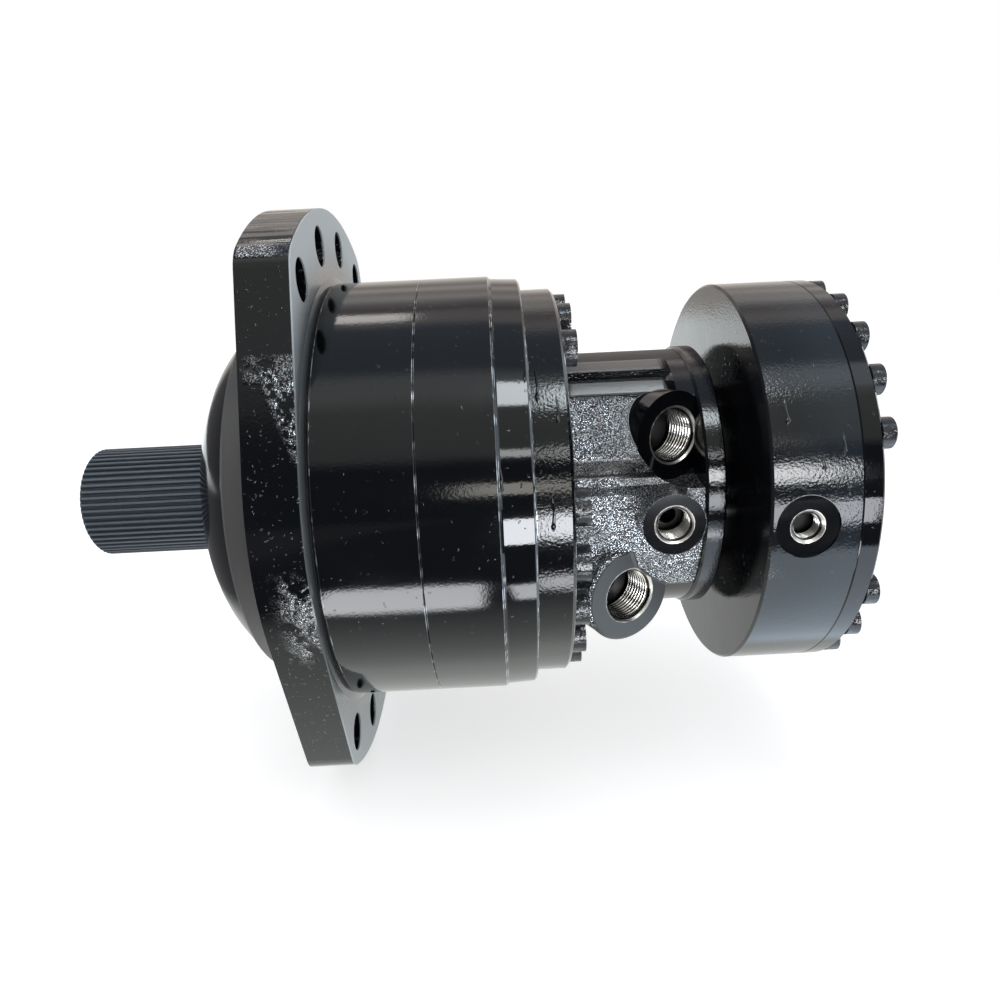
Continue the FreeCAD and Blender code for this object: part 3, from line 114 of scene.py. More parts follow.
# %% A node tree, and the one method that adds a node to it
class Tree:
    def __init__(self, owner):
        owner.use_nodes = True
        self.owner = owner
        self.links = owner.node_tree.links
        self.nodes = owner.node_tree.nodes
        self.nodes.clear()

    def node(self, kind, settings=None, sockets=None, output=0):
        made = self.nodes.new(kind)
        for name, setting in (settings or {}).items():
            if name == "stops":
                ramp = made.color_ramp
                while len(ramp.elements) < len(setting):
                    ramp.elements.new(0.5)
                for element, (position, colour) in zip(ramp.elements, setting):
                    element.position = position
                    element.color = (*colour, 1.0)
            else:
                setattr(made, name, setting)
        for name, value in (sockets or {}).items():
            if isinstance(value, Value):
                self.links.new(value.socket, made.inputs[name])
            else:
                made.inputs[name].default_value = value
        return None if output is None else Value(self, made.outputs[output])

    def sum(self, operation, *values):
        return self.node("ShaderNodeMath", {"operation": operation}, dict(enumerate(values)))

    def vector(self, operation, sockets, output=0):
        return self.node("ShaderNodeVectorMath", {"operation": operation}, sockets, output)

    def mix(self, share, first, second):
        """A colour between first, at share 0, and second, at share 1."""
        colours = [c if isinstance(c, Value) else (*c, 1.0) for c in (first, second)]
        sockets = {0: share, 6: colours[0], 7: colours[1]}
        return self.node("ShaderNodeMix", {"data_type": "RGBA"}, sockets, output=2)

    def split(self, place):
        """The three parts of a vector, each as a Value."""
        kind, sockets = "ShaderNodeSeparateXYZ", {"Vector": place}
        return [self.node(kind, sockets=sockets, output=axis) for axis in "XYZ"]


# %% A finish: a material with its place on the motor, its noise and its shader
class Finish(Tree):
    def __init__(self, name):
        super().__init__(bpy.data.materials.new(name))
        self.place = self.node("ShaderNodeTexCoord", output="Object")
        self.x, self.y, self.z = self.split(self.place)

    def grain(self, size, detail=2.0, stretch=(1, 1, 1), shift=0.0, roughness=0.5):
        """Noise from 0 to 1 whose lumps are about size metres wide, drawn out by stretch."""
        scale = [1 / (size * factor) for factor in stretch]
        sockets = {"Vector": self.place, "Scale": scale, "Location": (shift, shift * 0.7, -shift)}
        moved = self.node("ShaderNodeMapping", sockets=sockets)
        sockets = {"Vector": moved, "Scale": 1.0, "Detail": detail, "Roughness": roughness}
        return self.node("ShaderNodeTexNoise", sockets=sockets)

    def radius(self):
        """Distance from the motor's axis."""
        return (self.y * self.y + self.z * self.z).math("POWER", 0.5)

    def bump(self, height):
        """A normal from a height in metres."""
        return self.node("ShaderNodeBump", sockets={"Height": height, "Distance": 1.0, "Strength": 1.0})

    def finish(self, **sockets):
        """The shader itself, and the material's output."""
        named = {name.replace("_", " "): value for name, value in sockets.items()}
        shader = self.node("ShaderNodeBsdfPrincipled", sockets=named)
        self.node("ShaderNodeOutputMaterial", sockets={"Surface": shader}, output=None)
        return self.owner


print("helpers for finishes are ready")

# %% [markdown]
# ## The studio
# Black gloss shows nothing but what it reflects, so the room matters more than the paint. The real
# motor stood in a dim room with a pale ceiling, a window to the right, a lit board low in front of it
# and a bright patch on the floor.
# Two angles name a direction: its height from the front over the top to the back, and its lean to +X.

# %% The room by height, in degrees: 0 is the front, 90 the top and 180 the back
WHITE = (1.0, 1.0, 1.0)
ROOM_BY_HEIGHT = [
    (-180, (0.90, 0.85, 0.80)),
    (-100, (0.60, 0.60, 0.60)),
    (-30, (0.060, 0.065, 0.075)),
    (26, (0.060, 0.065, 0.075)),
    (31, (0.50, 0.52, 0.50)),
    (55, (0.62, 0.63, 0.60)),
    (63, (1.00, 1.03, 1.00)),
    (72, (0.95, 0.99, 1.02)),
    (78, (0.34, 0.40, 0.47)),
    (107, (0.34, 0.40, 0.48)),
    (111, (0.90, 0.86, 0.84)),
    (118, (0.80, 0.74, 0.72)),
    (122, (0.42, 0.38, 0.38)),
    (129, (0.70, 0.66, 0.66)),
    (134, (1.20, 1.14, 1.10)),
    (141, (0.72, 0.66, 0.62)),
    (147, (1.05, 0.96, 0.90)),
    (153, (0.50, 0.45, 0.42)),
    (162, (0.85, 0.78, 0.72)),
    (180, (0.90, 0.85, 0.80)),
]
world = bpy.data.worlds.new("studio")
bpy.context.scene.world = world
room = Tree(world)
direction = room.node("ShaderNodeTexCoord", output="Generated")
east, north, up = room.split(direction)
height = up.math("ARCTAN2", 0 - north) * (180 / math.pi)
lean = east.math("ARCSINE") * (180 / math.pi)
stops = [((angle + 180) / 360, colour) for angle, colour in ROOM_BY_HEIGHT]
seen = room.node("ShaderNodeValToRGB", {"stops": stops}, {0: height * (1 / 360) + 0.5})
print("room has", len(stops), "stops")

# %% The window and the smaller lights: lowest and highest, leftmost and rightmost, and how soft
ROOM_PATCHES = {
    "window": ((57, 68, 2.0), (4.4, 19, 0.6), (12.0, 13.0, 13.6)),
    "far pane": ((63, 74, 3.0), (19, 30, 1.5), (1.3, 1.45, 1.55)),
    "warm line": ((10, 15, 1.0), (-2, 9, 2.0), (4.6, 4.5, 4.2)),
    "low light": ((8.5, 16.5, 1.2), (14, 25.5, 1.5), (17.0, 17.3, 17.6)),
    "slot light": ((29, 32, 1.0), (3.5, 19, 1.0), (6.5, 6.6, 6.6)),
    "ceiling strip": ((113, 118, 1.2), (-16, -7, 2.0), (5.0, 4.8, 4.6)),
}
for heights, leans, colour in ROOM_PATCHES.values():
    seen = room.mix(height.between(*heights) * lean.between(*leans), seen, colour)
print("patches in the room:", ", ".join(ROOM_PATCHES))

# %% A dark end to the left, a pale end to the right, and the white that the camera sees
DARK_END, PALE_END = (0.16, 0.16, 0.17), (1.7, 1.95, 2.1)
DAYLIGHT = (0.75, 0.76, 0.78)
seen = room.mix(lean.rise(-30, -42), seen, DARK_END)
seen = room.mix(lean.rise(38, 55) * height.rise(-30, 10), seen, PALE_END)
camera_ray = room.node("ShaderNodeLightPath", output="Is Camera Ray")
glossy_ray = room.node("ShaderNodeLightPath", output="Is Glossy Ray")
light = room.mix(glossy_ray, DAYLIGHT, seen)
shown = room.mix(camera_ray, light, WHITE)
background = room.node("ShaderNodeBackground", sockets={"Color": shown, "Strength": 1.0})
room.node("ShaderNodeOutputWorld", sockets={"Surface": background}, output=None)
print("the world is ready")


# %% Two helpers for meshes
def mesh_object(name, points, faces, smooth=False):
    mesh = bpy.data.meshes.new(name)
    mesh.from_pydata([tuple(point) for point in points], [], faces)
    mesh.update()
    if smooth:
        mesh.shade_smooth()
    made = bpy.data.objects.new(name, mesh)
    bpy.context.scene.collection.objects.link(made)
    return made


def flat_sheet(name, corners, finish):
    """A flat sheet with four corners, for the studio."""
    made = mesh_object(name, corners, [(0, 1, 2, 3)])
    made.data.materials.append(finish)
    return made


print("helpers for meshes are ready")

# %% What the gloss sees of the floor: bands from front to back, and paler or darker fields
ground = Finish("pale_floor")
FLOOR_STOPS = (
    (0.00, (0.05, 0.055, 0.065)),
    (0.30, (0.06, 0.065, 0.075)),
    (0.43, (0.60, 0.62, 0.62)),
    (0.56, (1.05, 1.08, 1.05)),
    (0.66, (1.45, 1.50, 1.45)),
    (0.80, (0.88, 0.90, 0.88)),
    (1.00, (0.80, 0.82, 0.80)),
)
mirrored = ground.node("ShaderNodeValToRGB", {"stops": FLOOR_STOPS}, {0: ground.y * 2.5 + 0.85})
FLOOR_FIELDS = (
    (ground.x.rise(0.16, 0.25) * ground.y.between(-0.30, -0.06, 0.02), (1.9, 2.2, 2.5)),
    (ground.y.rise(0.40, 1.20), (1.75, 1.85, 1.85)),
    (ground.x.rise(-0.13, -0.20) * ground.y.rise(0.90, 0.60), DARK_END),
    (ground.y.between(-0.262, -0.200, 0.016) * ground.x.between(-0.02, 0.080, 0.008), (9.5, 9.7, 10.0)),
    (ground.y.between(-0.243, -0.208, 0.012) * ground.x.between(0.120, 0.260, 0.006), (9.0, 9.2, 9.5)),
)
for share, colour in FLOOR_FIELDS:
    mirrored = ground.mix(share, mirrored, colour)
print("fields on the floor:", len(FLOOR_FIELDS))

# %% The floor, which lies under the lower ear and glows a little, so that it looks white but for shadows
FLOOR_REACH, FLOOR_GAP = 4.0, 0.0002
SOFT_GLOW, CAMERA_GLOW = (0.30,) * 3, (0.62,) * 3
PALE, NEARLY_BLACK = (0.72,) * 3, (0.02,) * 3
camera_ray = ground.node("ShaderNodeLightPath", output="Is Camera Ray")
glossy_ray = ground.node("ShaderNodeLightPath", output="Is Glossy Ray")
glow = ground.mix(camera_ray, ground.mix(glossy_ray, SOFT_GLOW, mirrored), CAMERA_GLOW)
matt_sockets = {"Color": ground.mix(glossy_ray, PALE, NEARLY_BLACK)}
matt = ground.node("ShaderNodeBsdfDiffuse", sockets=matt_sockets)
lamp = ground.node("ShaderNodeEmission", sockets={"Color": glow, "Strength": 1.0})
both = ground.node("ShaderNodeAddShader", sockets={0: matt, 1: lamp})
ground.node("ShaderNodeOutputMaterial", sockets={"Surface": both}, output=None)
floor_height = cad_low.z - FLOOR_GAP
sides = ((-1, -1), (1, -1), (1, 1), (-1, 1))
corners = [(sx * FLOOR_REACH, sy * FLOOR_REACH, floor_height) for sx, sy in sides]
floor = flat_sheet("floor", corners, ground.owner)
print("floor at", round(1000 * floor_height, 1), "mm")

# %% The white board that stands low in front, to the right, and shows only in the gloss
BOARD_LEFT, BOARD_RIGHT, BOARD_Y = 0.123, 0.47, -0.50
BOARD_LOW, BOARD_TOP = -0.118, -0.008
lit = Finish("lit_board")
strong = lit.mix(lit.x.rise(0.19, 0.26), (19.0, 19.5, 20.5), (8.5, 8.8, 9.4))
lamp = lit.node("ShaderNodeEmission", sockets={"Color": strong, "Strength": 1.0})
lit.node("ShaderNodeOutputMaterial", sockets={"Surface": lamp}, output=None)
outline = (
    (BOARD_LEFT, BOARD_LOW), (BOARD_RIGHT, BOARD_LOW), (BOARD_RIGHT, BOARD_TOP), (BOARD_LEFT, BOARD_TOP)
)
board = flat_sheet("white_board", [(x, BOARD_Y, z) for x, z in outline], lit.owner)
board.visible_camera = False
board.visible_diffuse = False
board.visible_shadow = False
print("board stands from x", BOARD_LEFT, "to", BOARD_RIGHT)


# %% Two soft lamps for the matt and bare surfaces
def soft_lamp(name, place, aim, width, depth, radiance):
    """An oblong lamp at place that looks at aim; radiance is how bright its face looks."""
    data = bpy.data.lights.new(name, "AREA")
    data.shape = "RECTANGLE"
    data.size, data.size_y = width, depth
    data.energy = radiance * width * depth * math.pi
    made = bpy.data.objects.new(name, data)
    made.location = place
    made.rotation_euler = (Vector(aim) - Vector(place)).to_track_quat("-Z", "Y").to_euler()
    made.visible_camera = False
    made.visible_glossy = False
    bpy.context.scene.collection.objects.link(made)
    return made


MOTOR_MIDDLE = (0.09, 0.0, 0.0)
soft_lamp("ceiling_lamp", (0.10, -0.25, 1.30), MOTOR_MIDDLE, 0.9, 0.35, 2.0)
soft_lamp("side_lamp", (-1.20, -0.70, 0.55), MOTOR_MIDDLE, 0.5, 0.4, 2.5)
print("lamps ready")

# %% [markdown]
# ## The ports
# Four threaded holes were bored after the casting and masked while the motor was sprayed, so their
# mouths shine. Each has a place in its mouth, a direction outward, its sizes and its thread's pitch.

# %% Where the ports are, in metres
TILTED = Vector((math.sin(math.radians(26.5)), -math.cos(math.radians(26.5)), 0.0))
STRAIGHT = Vector((0.0, -1.0, 0.0))
PORTS = {
    "upper": {
        "mouth": Vector((0.1750, -0.0485, 0.0317)), "out": TILTED, "bore": 0.0121, "rim": 0.0132,
        "depth": 0.0190, "pitch": 0.001814, "face": 0.0206,
    },
    "lower": {
        "mouth": Vector((0.1540, -0.0600, -0.0400)), "out": TILTED, "bore": 0.0121, "rim": 0.0132,
        "depth": 0.0190, "pitch": 0.001814, "face": 0.0212,
    },
    "drain": {
        "mouth": Vector((0.1690, -0.0780, 0.0)), "out": STRAIGHT, "bore": 0.0074, "rim": 0.0084,
        "depth": 0.0140, "pitch": 0.001337, "face": 0.0136,
    },
    "brake": {
        "mouth": Vector((0.2180, -0.0938, 0.0022)), "out": STRAIGHT, "bore": 0.0058, "rim": 0.0070,
        "depth": 0.0086, "pitch": 0.001337, "face": 0.0130,
    },
}
THREAD_HEIGHT = 0.48  # of the pitch
print("ports:", ", ".join(PORTS))


# %% Where a finish lies in a port: its depth below the mouth and its distance from the port's axis
def port_place(paint, port):
    from_mouth = paint.vector("SUBTRACT", {0: paint.place, 1: port["mouth"]})
    along = paint.vector("DOT_PRODUCT", {0: from_mouth, 1: port["out"]}, output=1)
    on_axis = paint.vector("SCALE", {0: port["out"], "Scale": along})
    off_axis = paint.vector("SUBTRACT", {0: from_mouth, 1: on_axis})
    return along, paint.vector("LENGTH", {0: off_axis}, output=1)


def largest(shares):
    """The largest of several shares."""
    most = shares[0]
    for share in shares[1:]:
        most = most.math("MAXIMUM", share)
    return most


def bared(paint, names):
    """Four shares: 1 on bored metal, 1 below its chamfer, 1 deep down and 1 on crests of threads."""
    shares, walls, depths, crests = [], [], [], []
    ragged = paint.grain(0.0012, detail=2.0, shift=0.7) * 0.0005
    for name in names:
        port = PORTS[name]
        along, across = port_place(paint, port)
        edge = port["rim"] + 0.0002
        tall = THREAD_HEIGHT * port["pitch"]
        inside = (across + ragged).rise(edge + 0.0003, edge + 0.0001) * along.rise(0.0004, 0.0002)
        shares.append(inside * along.rise(-port["depth"] - 0.0100, -port["depth"] - 0.0060))
        walls.append(inside * across.rise(port["bore"] + 0.0003, port["bore"] + 0.0001))
        depths.append(inside * along.rise(-0.30 * port["depth"], -0.95 * port["depth"]))
        crests.append(inside * across.rise(port["bore"] - 0.40 * tall, port["bore"] - 0.85 * tall))
    return largest(shares), largest(walls), largest(depths), largest(crests)


def faced(paint, names, low=-0.0003, high=0.0006, wider=0.0):
    """1 on the milled flat around the mouth of the named ports."""
    shares = []
    for name in names:
        port = PORTS[name]
        along, across = port_place(paint, port)
        reach = port["face"] + wider
        shares.append(along.between(low, high, 0.0002) * across.rise(reach + 0.0003, reach))
    return largest(shares)


print("masks for ports are ready")

# %% [markdown]
# ## Black enamel
# The big drums were turned smooth and sprayed: a long wave, a fine orange peel and a few specks of
# dust. The castings got the same paint over sand-cast skin, whose lumps each catch a small light; those
# glints are painted in as pale metal specks.
# Each height is written as a slope times the size of its lumps, because the slope bends reflections.

# %% The colours of paint and iron, and how far each height reaches
BLACK = (0.0022, 0.0024, 0.0030)
BLUISH = (0.0046, 0.0053, 0.0072)
DRUM_SHEEN_BLUE = (0.0190, 0.0250, 0.0325)
# A painted sheen: a bluish grey, lighter than the black paint, for the drum
DULL = (0.068, 0.073, 0.077)
# A painted highlight: pale metal for the glints of the skin and of the seams
PAINTED_GLINT = (0.80, 0.84, 0.88)
CUT_IRON = (0.62, 0.59, 0.54)
# Painted shade in the ports: darker iron on the bore's wall and near black deep down
SHADED_WALL_IRON = (0.120, 0.113, 0.102)
SHADED_DEEP_IRON = (0.020, 0.019, 0.018)
# Painted sheens: pale on the turned back of the ears, grey on the pilot
EAR_BACK_SHEEN = (0.480, 0.530, 0.550)
PILOT_SHEEN_GREY = (0.115, 0.112, 0.110)

SKIN_SLOPE = 0.50
WAVE_REACH, PEEL_REACH, LUMP_REACH, SWELL_HEIGHT, SPECK_HEIGHT = 0.050, 0.0018, 0.0013, 0.0007, 0.00004
HALF_SEAM = 0.0001
DULL_ROUGHNESS = 0.50
print("colours are ready")


# %% Sand-cast skin, and the seams between the drums
def cast_skin(paint, share):
    """The height of the skin, and the share of it that carries painted glints: pale metal specks for
    light on its lumps.
    """
    lumps = paint.grain(0.0008, detail=2.0, shift=0.2, roughness=0.6)
    swell = paint.grain(0.0060, detail=1.0, shift=0.6)
    glints = paint.grain(0.0006, detail=2.0, shift=0.1).rise(0.50, 0.60) * 0.90 + 0.02
    return share * (lumps * (SKIN_SLOPE * LUMP_REACH) + swell * SWELL_HEIGHT), share * glints


def painted_seam_glints(paint, seams):
    """Broken bright lines painted along the seams as highlights on their edges, each at its place along
    X.
    """
    bright = paint.grain(0.0060, detail=2.0, shift=0.35).rise(0.46, 0.66) * 0.55 + 0.03
    lines = [paint.x.between(seam - HALF_SEAM, seam + HALF_SEAM, HALF_SEAM) for seam in seams]
    return bright * largest(lines)


print("helpers for enamel are ready")


# %% Enamel, with optional cast skin, dull milled faces and bare bored metal
def enamel(
    name, peel=0.012, wave=0.004, gloss=0.07, seams=(),
    blue=None, skin=None, flat=None, tilt=None, dull=None, cut=None,
):
    """A painted finish. The last six are functions of the finish, or None.

    blue, skin and flat give the share of a painted bluish sheen, of cast skin and of a face without
    orange peel.
    tilt gives a height to add, dull a list of shares and matt colours, some of them painted sheens, and
    cut what bared() gives.
    """
    paint = Finish(name)
    waves = paint.grain(0.030, detail=1.0, stretch=(1.6, 1, 1))
    fine = paint.grain(0.0011, detail=2.0, shift=0.3)
    speck = paint.grain(0.0019, detail=0.0, shift=0.9).rise(0.79, 0.83)
    cloud = paint.grain(0.022, detail=3.0, stretch=(2.5, 1, 1), shift=0.5)
    fine_height = fine * (peel * PEEL_REACH) + speck * SPECK_HEIGHT
    if flat:
        fine_height = fine_height * (1 - flat(paint))
    height = waves * (wave * WAVE_REACH) + fine_height
    colour = paint.mix(cloud, BLACK, BLUISH)
    # A painted bluish sheen on the drum
    if blue:
        colour = paint.mix(blue(paint) * (cloud * 0.4 + 0.6), colour, DRUM_SHEEN_BLUE)
    rough = cloud.rise(0.35, 0.75) * gloss + gloss
    metal = 0.0
    if skin:
        skin_height, metal = cast_skin(paint, skin(paint))
        height = height + skin_height
    if seams:
        metal = painted_seam_glints(paint, seams).math("MAXIMUM", metal)
    # The skin's glints and the seam lines are painted highlights, pale metal in the colour
    if skin or seams:
        colour = paint.mix(metal, colour, PAINTED_GLINT)
    if tilt:
        height = height + tilt(paint)
    for share, matt_colour in dull(paint) if dull else ():
        colour = paint.mix(share, colour, matt_colour)
        rough = rough * (1 - share) + share * DULL_ROUGHNESS
    if cut:
        bare, wall, deep, _ = cut(paint)
        # The bore's wall and its depth get painted shade
        iron = paint.mix(deep, paint.mix(wall, CUT_IRON, SHADED_WALL_IRON), SHADED_DEEP_IRON)
        colour = paint.mix(bare, colour, iron)
        rough = rough * (1 - bare) + bare * (cloud * 0.15 + 0.24)
        height = height * (1 - bare)
        metal = bare.math("MAXIMUM", metal)
    normal = paint.bump(height)
    return paint.finish(Base_Color=colour, Roughness=rough, Metallic=metal, Normal=normal, IOR=1.5)


print("enamel is ready")


# %% The turned drums and rings
def drum_flat(paint):
    """The milled flat around the brake's port, and the round wall that was cut with it."""
    return faced(paint, ["brake"], -0.0020, 0.0003)


def drum_sheen_share(paint):
    """Where the drum gets its painted bluish sheen: stronger to its rear, and none on its front face or
    in its spotface.
    """
    share = paint.x.rise(0.2030, 0.2038) * 0.3 + paint.x.rise(0.212, 0.236) * 0.7
    return share * (1 - drum_flat(paint))


turned_enamel = enamel("enamel_on_turned_steel", seams=(0.0647, 0.0955))
ring_enamel = enamel("enamel_on_ring", peel=0.006, wave=0.002, gloss=0.04, seams=(0.0962, 0.1095))
drum_enamel = enamel(
    "enamel_on_drum",
    peel=0.034,
    blue=drum_sheen_share,
    flat=drum_flat,
    cut=lambda paint: bared(paint, ["brake"]),
)
print("turned parts have", turned_enamel.name, ring_enamel.name, drum_enamel.name)


# %% The front casting: a sandy rim on the flange, and turned faces elsewhere
def support_skin(paint):
    """Where the flange's rim has sand-cast skin with painted glints: in patches where the glints show,
    along the ears' crowns as a painted highlight that fades to the right, and in a few specks between
    them.
    """
    rim = paint.x.rise(0.0002, 0.0012) * paint.x.rise(0.0214, 0.0206)
    patchy = paint.grain(0.007, detail=2.0, shift=0.8).rise(0.40, 0.58)
    streaky = paint.grain(0.0030, detail=2.0, shift=0.4).rise(0.46, 0.60)
    upper = paint.z.between(0.042, 0.072, 0.004) * (paint.x + paint.z * 0.4).rise(0.0345, 0.0385)
    corner = paint.z.between(0.070, 0.077, 0.002) * paint.x.rise(0.001, 0.004) * patchy
    lower = paint.z.between(-0.040, -0.008, 0.008) * paint.x.rise(0.004, 0.015)
    # A painted highlight along the crown of the ear, fading to the right
    crown = paint.z.between(0.1145, 0.1180, 0.0012) * (paint.x.rise(0.020, 0.008) * 0.8 + 0.15)
    specks = paint.grain(0.0016, detail=1.0, shift=0.55).rise(0.67, 0.74) * 0.2
    return rim * largest([upper * streaky, crown, lower * patchy * 0.7, corner * 0.5, specks])


def support_dull(paint):
    """A pale painted sheen on the turned back of the ears, paler to the tips, and a painted grey sheen
    on the pilot.
    """
    back = paint.x.between(0.0212, 0.0235, 0.0003) * paint.radius().rise(0.097, 0.128)
    pilot = paint.x.between(-0.0155, -0.0060, 0.0003) * paint.radius().rise(0.0840, 0.0860) * 0.7
    return [(back, EAR_BACK_SHEEN), (pilot, PILOT_SHEEN_GREY)]


def crown_waves(paint):
    """Long waves across the crown of each ear, left by the mould."""
    crown = paint.z.math("ABSOLUTE").rise(0.116, 0.121) * paint.x.rise(0.0214, 0.0206)
    return crown * paint.grain(0.0075, detail=1.0, stretch=(9, 1, 1), shift=0.15) * 0.0014


support_enamel = enamel(
    "enamel_on_cast_support", skin=support_skin, dull=support_dull, tilt=crown_waves,
    seams=(0.0246, 0.0641),
)
print("front casting has", support_enamel.name)


# %% Where the neck and its ribs lie on the rear casting, along X and in degrees above the front
NECK_START, RIB_REAR, NECK_REAR = 0.1262, 0.1730, 0.1855
LOWER_RIB, UPPER_RIB = (49.5, 56.5), (63.5, 70.5)
RIB_RADIUS, RIB_LEAN = 0.0665, 0.25
# A painted sheen on the tops of the ribs
RIB_SHEEN_GREY = (0.200, 0.190, 0.180)


def housing_turn(paint):
    """Degrees above the front around the motor's axis."""
    return paint.z.math("ARCTAN2", 0 - paint.y) * (180 / math.pi)


def rib(paint, angles):
    """1 on the smooth top of the rib that lies between two angles."""
    around = housing_turn(paint).between(*angles, 0.5)
    return around * paint.radius().rise(0.0656, 0.0661) * paint.x.between(NECK_START, RIB_REAR, 0.001)


print("ribs lie at", LOWER_RIB, "and", UPPER_RIB, "degrees")


# %% The rear casting: a turned flange, ribs worn smooth by the mould, and sandy flats between
def housing_skin(paint):
    """Sandy from the lower rib to the underside, but for one band and the faces around the ports."""
    turn = housing_turn(paint)
    patchy = paint.grain(0.011, detail=2.0, shift=0.45).rise(0.34, 0.56) * 0.45 + 0.55
    shaded = 1 - paint.x.rise(0.142, 0.158) * turn.rise(4, 12) * 0.75
    sandy = turn.between(-36, 48, 1.5) * (1 - turn.between(16.0, 22.0, 1.0) * 0.8) * patchy * shaded
    sandy = sandy + turn.rise(71, 73) * 0.12
    smooth = faced(paint, ["upper", "drain"], -0.0120, 0.0008, -0.0005)
    smooth = smooth.math("MAXIMUM", faced(paint, ["lower"], -0.0003, 0.0008, 0.0003))
    return paint.x.between(NECK_START + 0.001, NECK_REAR, 0.0007) * sandy * (1 - smooth)


def rib_tilt(paint):
    """The lower rib leans forward a little, so it catches the window."""
    off_middle = housing_turn(paint) - sum(LOWER_RIB) / 2
    return rib(paint, LOWER_RIB) * off_middle * (RIB_LEAN * RIB_RADIUS * math.pi / 180)


def housing_dull(paint):
    """The neck's dark top, a pale painted sheen on the ribs, and the milled face of the lower port."""
    top = housing_turn(paint).rise(71, 74) * paint.x.between(NECK_START, NECK_REAR, 0.0007) * 0.9
    upper_rib, lower_rib = rib(paint, UPPER_RIB) * 0.8, rib(paint, LOWER_RIB) * 0.35
    return [(top, BLACK), (upper_rib, RIB_SHEEN_GREY), (lower_rib, RIB_SHEEN_GREY), (faced(paint, ["lower"]), DULL)]


housing_enamel = enamel(
    "enamel_on_cast_housing",
    peel=0.036,
    skin=housing_skin,
    tilt=rib_tilt,
    dull=housing_dull,
    seams=(0.1102, 0.1255),
    cut=lambda paint: bared(paint, ["upper", "lower", "drain"]),
    flat=lambda paint: faced(paint, ["upper", "lower", "drain"], -0.0120, 0.0008, 0.0002),
)
print("rear casting has", housing_enamel.name)

# %% [markdown]
# ## Screws, spline, rubber and bare metal
# Paint lies thick on the screw heads, with paler blots of painted glint on it. The spline was
# phosphated: a dull blue-grey crust, worn to a lighter metal on the crests of its teeth. The rings
# inside never show, but each has its own metal.

# %% Screws and spline
screw_paint = Finish("enamel_on_screws")
# Blobs of thick paint; their paler, partly metallic parts are painted glints
blob_and_glint = screw_paint.grain(0.0040, detail=3.0)
fine = screw_paint.grain(0.0012, detail=2.0, shift=0.4)
screw_enamel = screw_paint.finish(
    Base_Color=screw_paint.mix(blob_and_glint, (0.006, 0.007, 0.009), (0.060, 0.064, 0.070)),
    Roughness=blob_and_glint.rise(0.3, 0.7) * 0.14 + 0.08,
    Metallic=blob_and_glint.rise(0.45, 0.65) * 0.25,
    Normal=screw_paint.bump(blob_and_glint * 0.0006 + fine * 0.00012),
)

phosphate = Finish("phosphate_on_spline")
crust = phosphate.grain(0.0006, detail=3.0)
streak = phosphate.grain(0.0009, detail=2.0, stretch=(14, 1, 1), shift=0.4)
crest = phosphate.radius().rise(0.0268, 0.0274)
phosphated = phosphate.finish(
    Base_Color=phosphate.mix(crest, (0.055, 0.070, 0.086), (0.125, 0.150, 0.172)),
    Roughness=streak * 0.25 + 0.38,
    Metallic=0.35,
    Normal=phosphate.bump(crust * 0.00004),
)
print("made", screw_enamel.name, phosphated.name)


# %% Metal and rubber
def metal_finish(name, dark, light, rough, slope=0.02):
    metal = Finish(name)
    turning = metal.grain(0.0007, detail=2.0, stretch=(0.4, 2, 2))
    return metal.finish(
        Base_Color=metal.mix(turning, dark, light),
        Roughness=turning * 0.18 + rough,
        Metallic=1.0,
        Normal=metal.bump(turning * (slope * 0.0012)),
    )


def dull_finish(name, dark, light, rough):
    skin = Finish(name)
    mottle = skin.grain(0.0025, detail=3.0)
    return skin.finish(
        Base_Color=skin.mix(mottle, dark, light),
        Roughness=mottle * 0.2 + rough,
        Normal=skin.bump(mottle * 0.00008),
    )


bare_steel = metal_finish("bare_steel", (0.42, 0.40, 0.37), (0.62, 0.60, 0.56), 0.20)

threaded = Finish("threaded_iron")
_, _, deep, crest = bared(threaded, list(PORTS))
tool_mark = threaded.grain(0.0009, detail=2.0)
# The roots and deep turns of the thread are painted dark as shade, and the crests painted pale as
# highlight
cut_iron = threaded.finish(
    Base_Color=threaded.mix(crest * (1 - deep * 0.7), (0.045, 0.043, 0.040), (0.86, 0.83, 0.78)),
    Roughness=tool_mark * 0.12 + 0.16,
    Metallic=1.0,
    Normal=threaded.bump(tool_mark * 0.000010),
)
bronze = metal_finish("bronze", (0.42, 0.29, 0.13), (0.60, 0.44, 0.22), 0.28)
rubber = dull_finish("seal_rubber", (0.010, 0.010, 0.011), (0.026, 0.026, 0.027), 0.5)
lining = dull_finish("friction_lining", (0.10, 0.075, 0.050), (0.20, 0.16, 0.11), 0.6)
print("made", bare_steel.name, cut_iron.name, bronze.name, rubber.name, lining.name)

# %% Which node wears which finish
WORN = {
    "bearing_support": support_enamel,
    "output_shaft": phosphated,
    "cam_ring": turned_enamel,
    "distribution_ring": ring_enamel,
    "port_housing": housing_enamel,
    "brake_housing": drum_enamel,
    "brake_cover": ring_enamel,
    "case_screws": screw_enamel,
    "brake_cover_screws": screw_enamel,
    "brake_cover_plug": screw_enamel,
    "friction_discs": lining,
    "front_bearing_cage": bronze,
    "rear_bearing_cage": bronze,
}
for name, node in nodes.items():
    finish = rubber if "seal" in name else WORN.get(name, bare_steel)
    node.data.materials.clear()
    node.data.materials.append(finish)
print("finishes on", len(nodes), "nodes")

# %% [markdown]
# ## The threads in the ports
# Each port has a right-handed pipe thread, whose bright turns show on the far wall. A ridge with the
# section of the thread is swept along a helix inside the bore, and dies out at both of its ends.
# The brake's oil feed was drilled from the milled flat beside its port, and a small plug closes it.


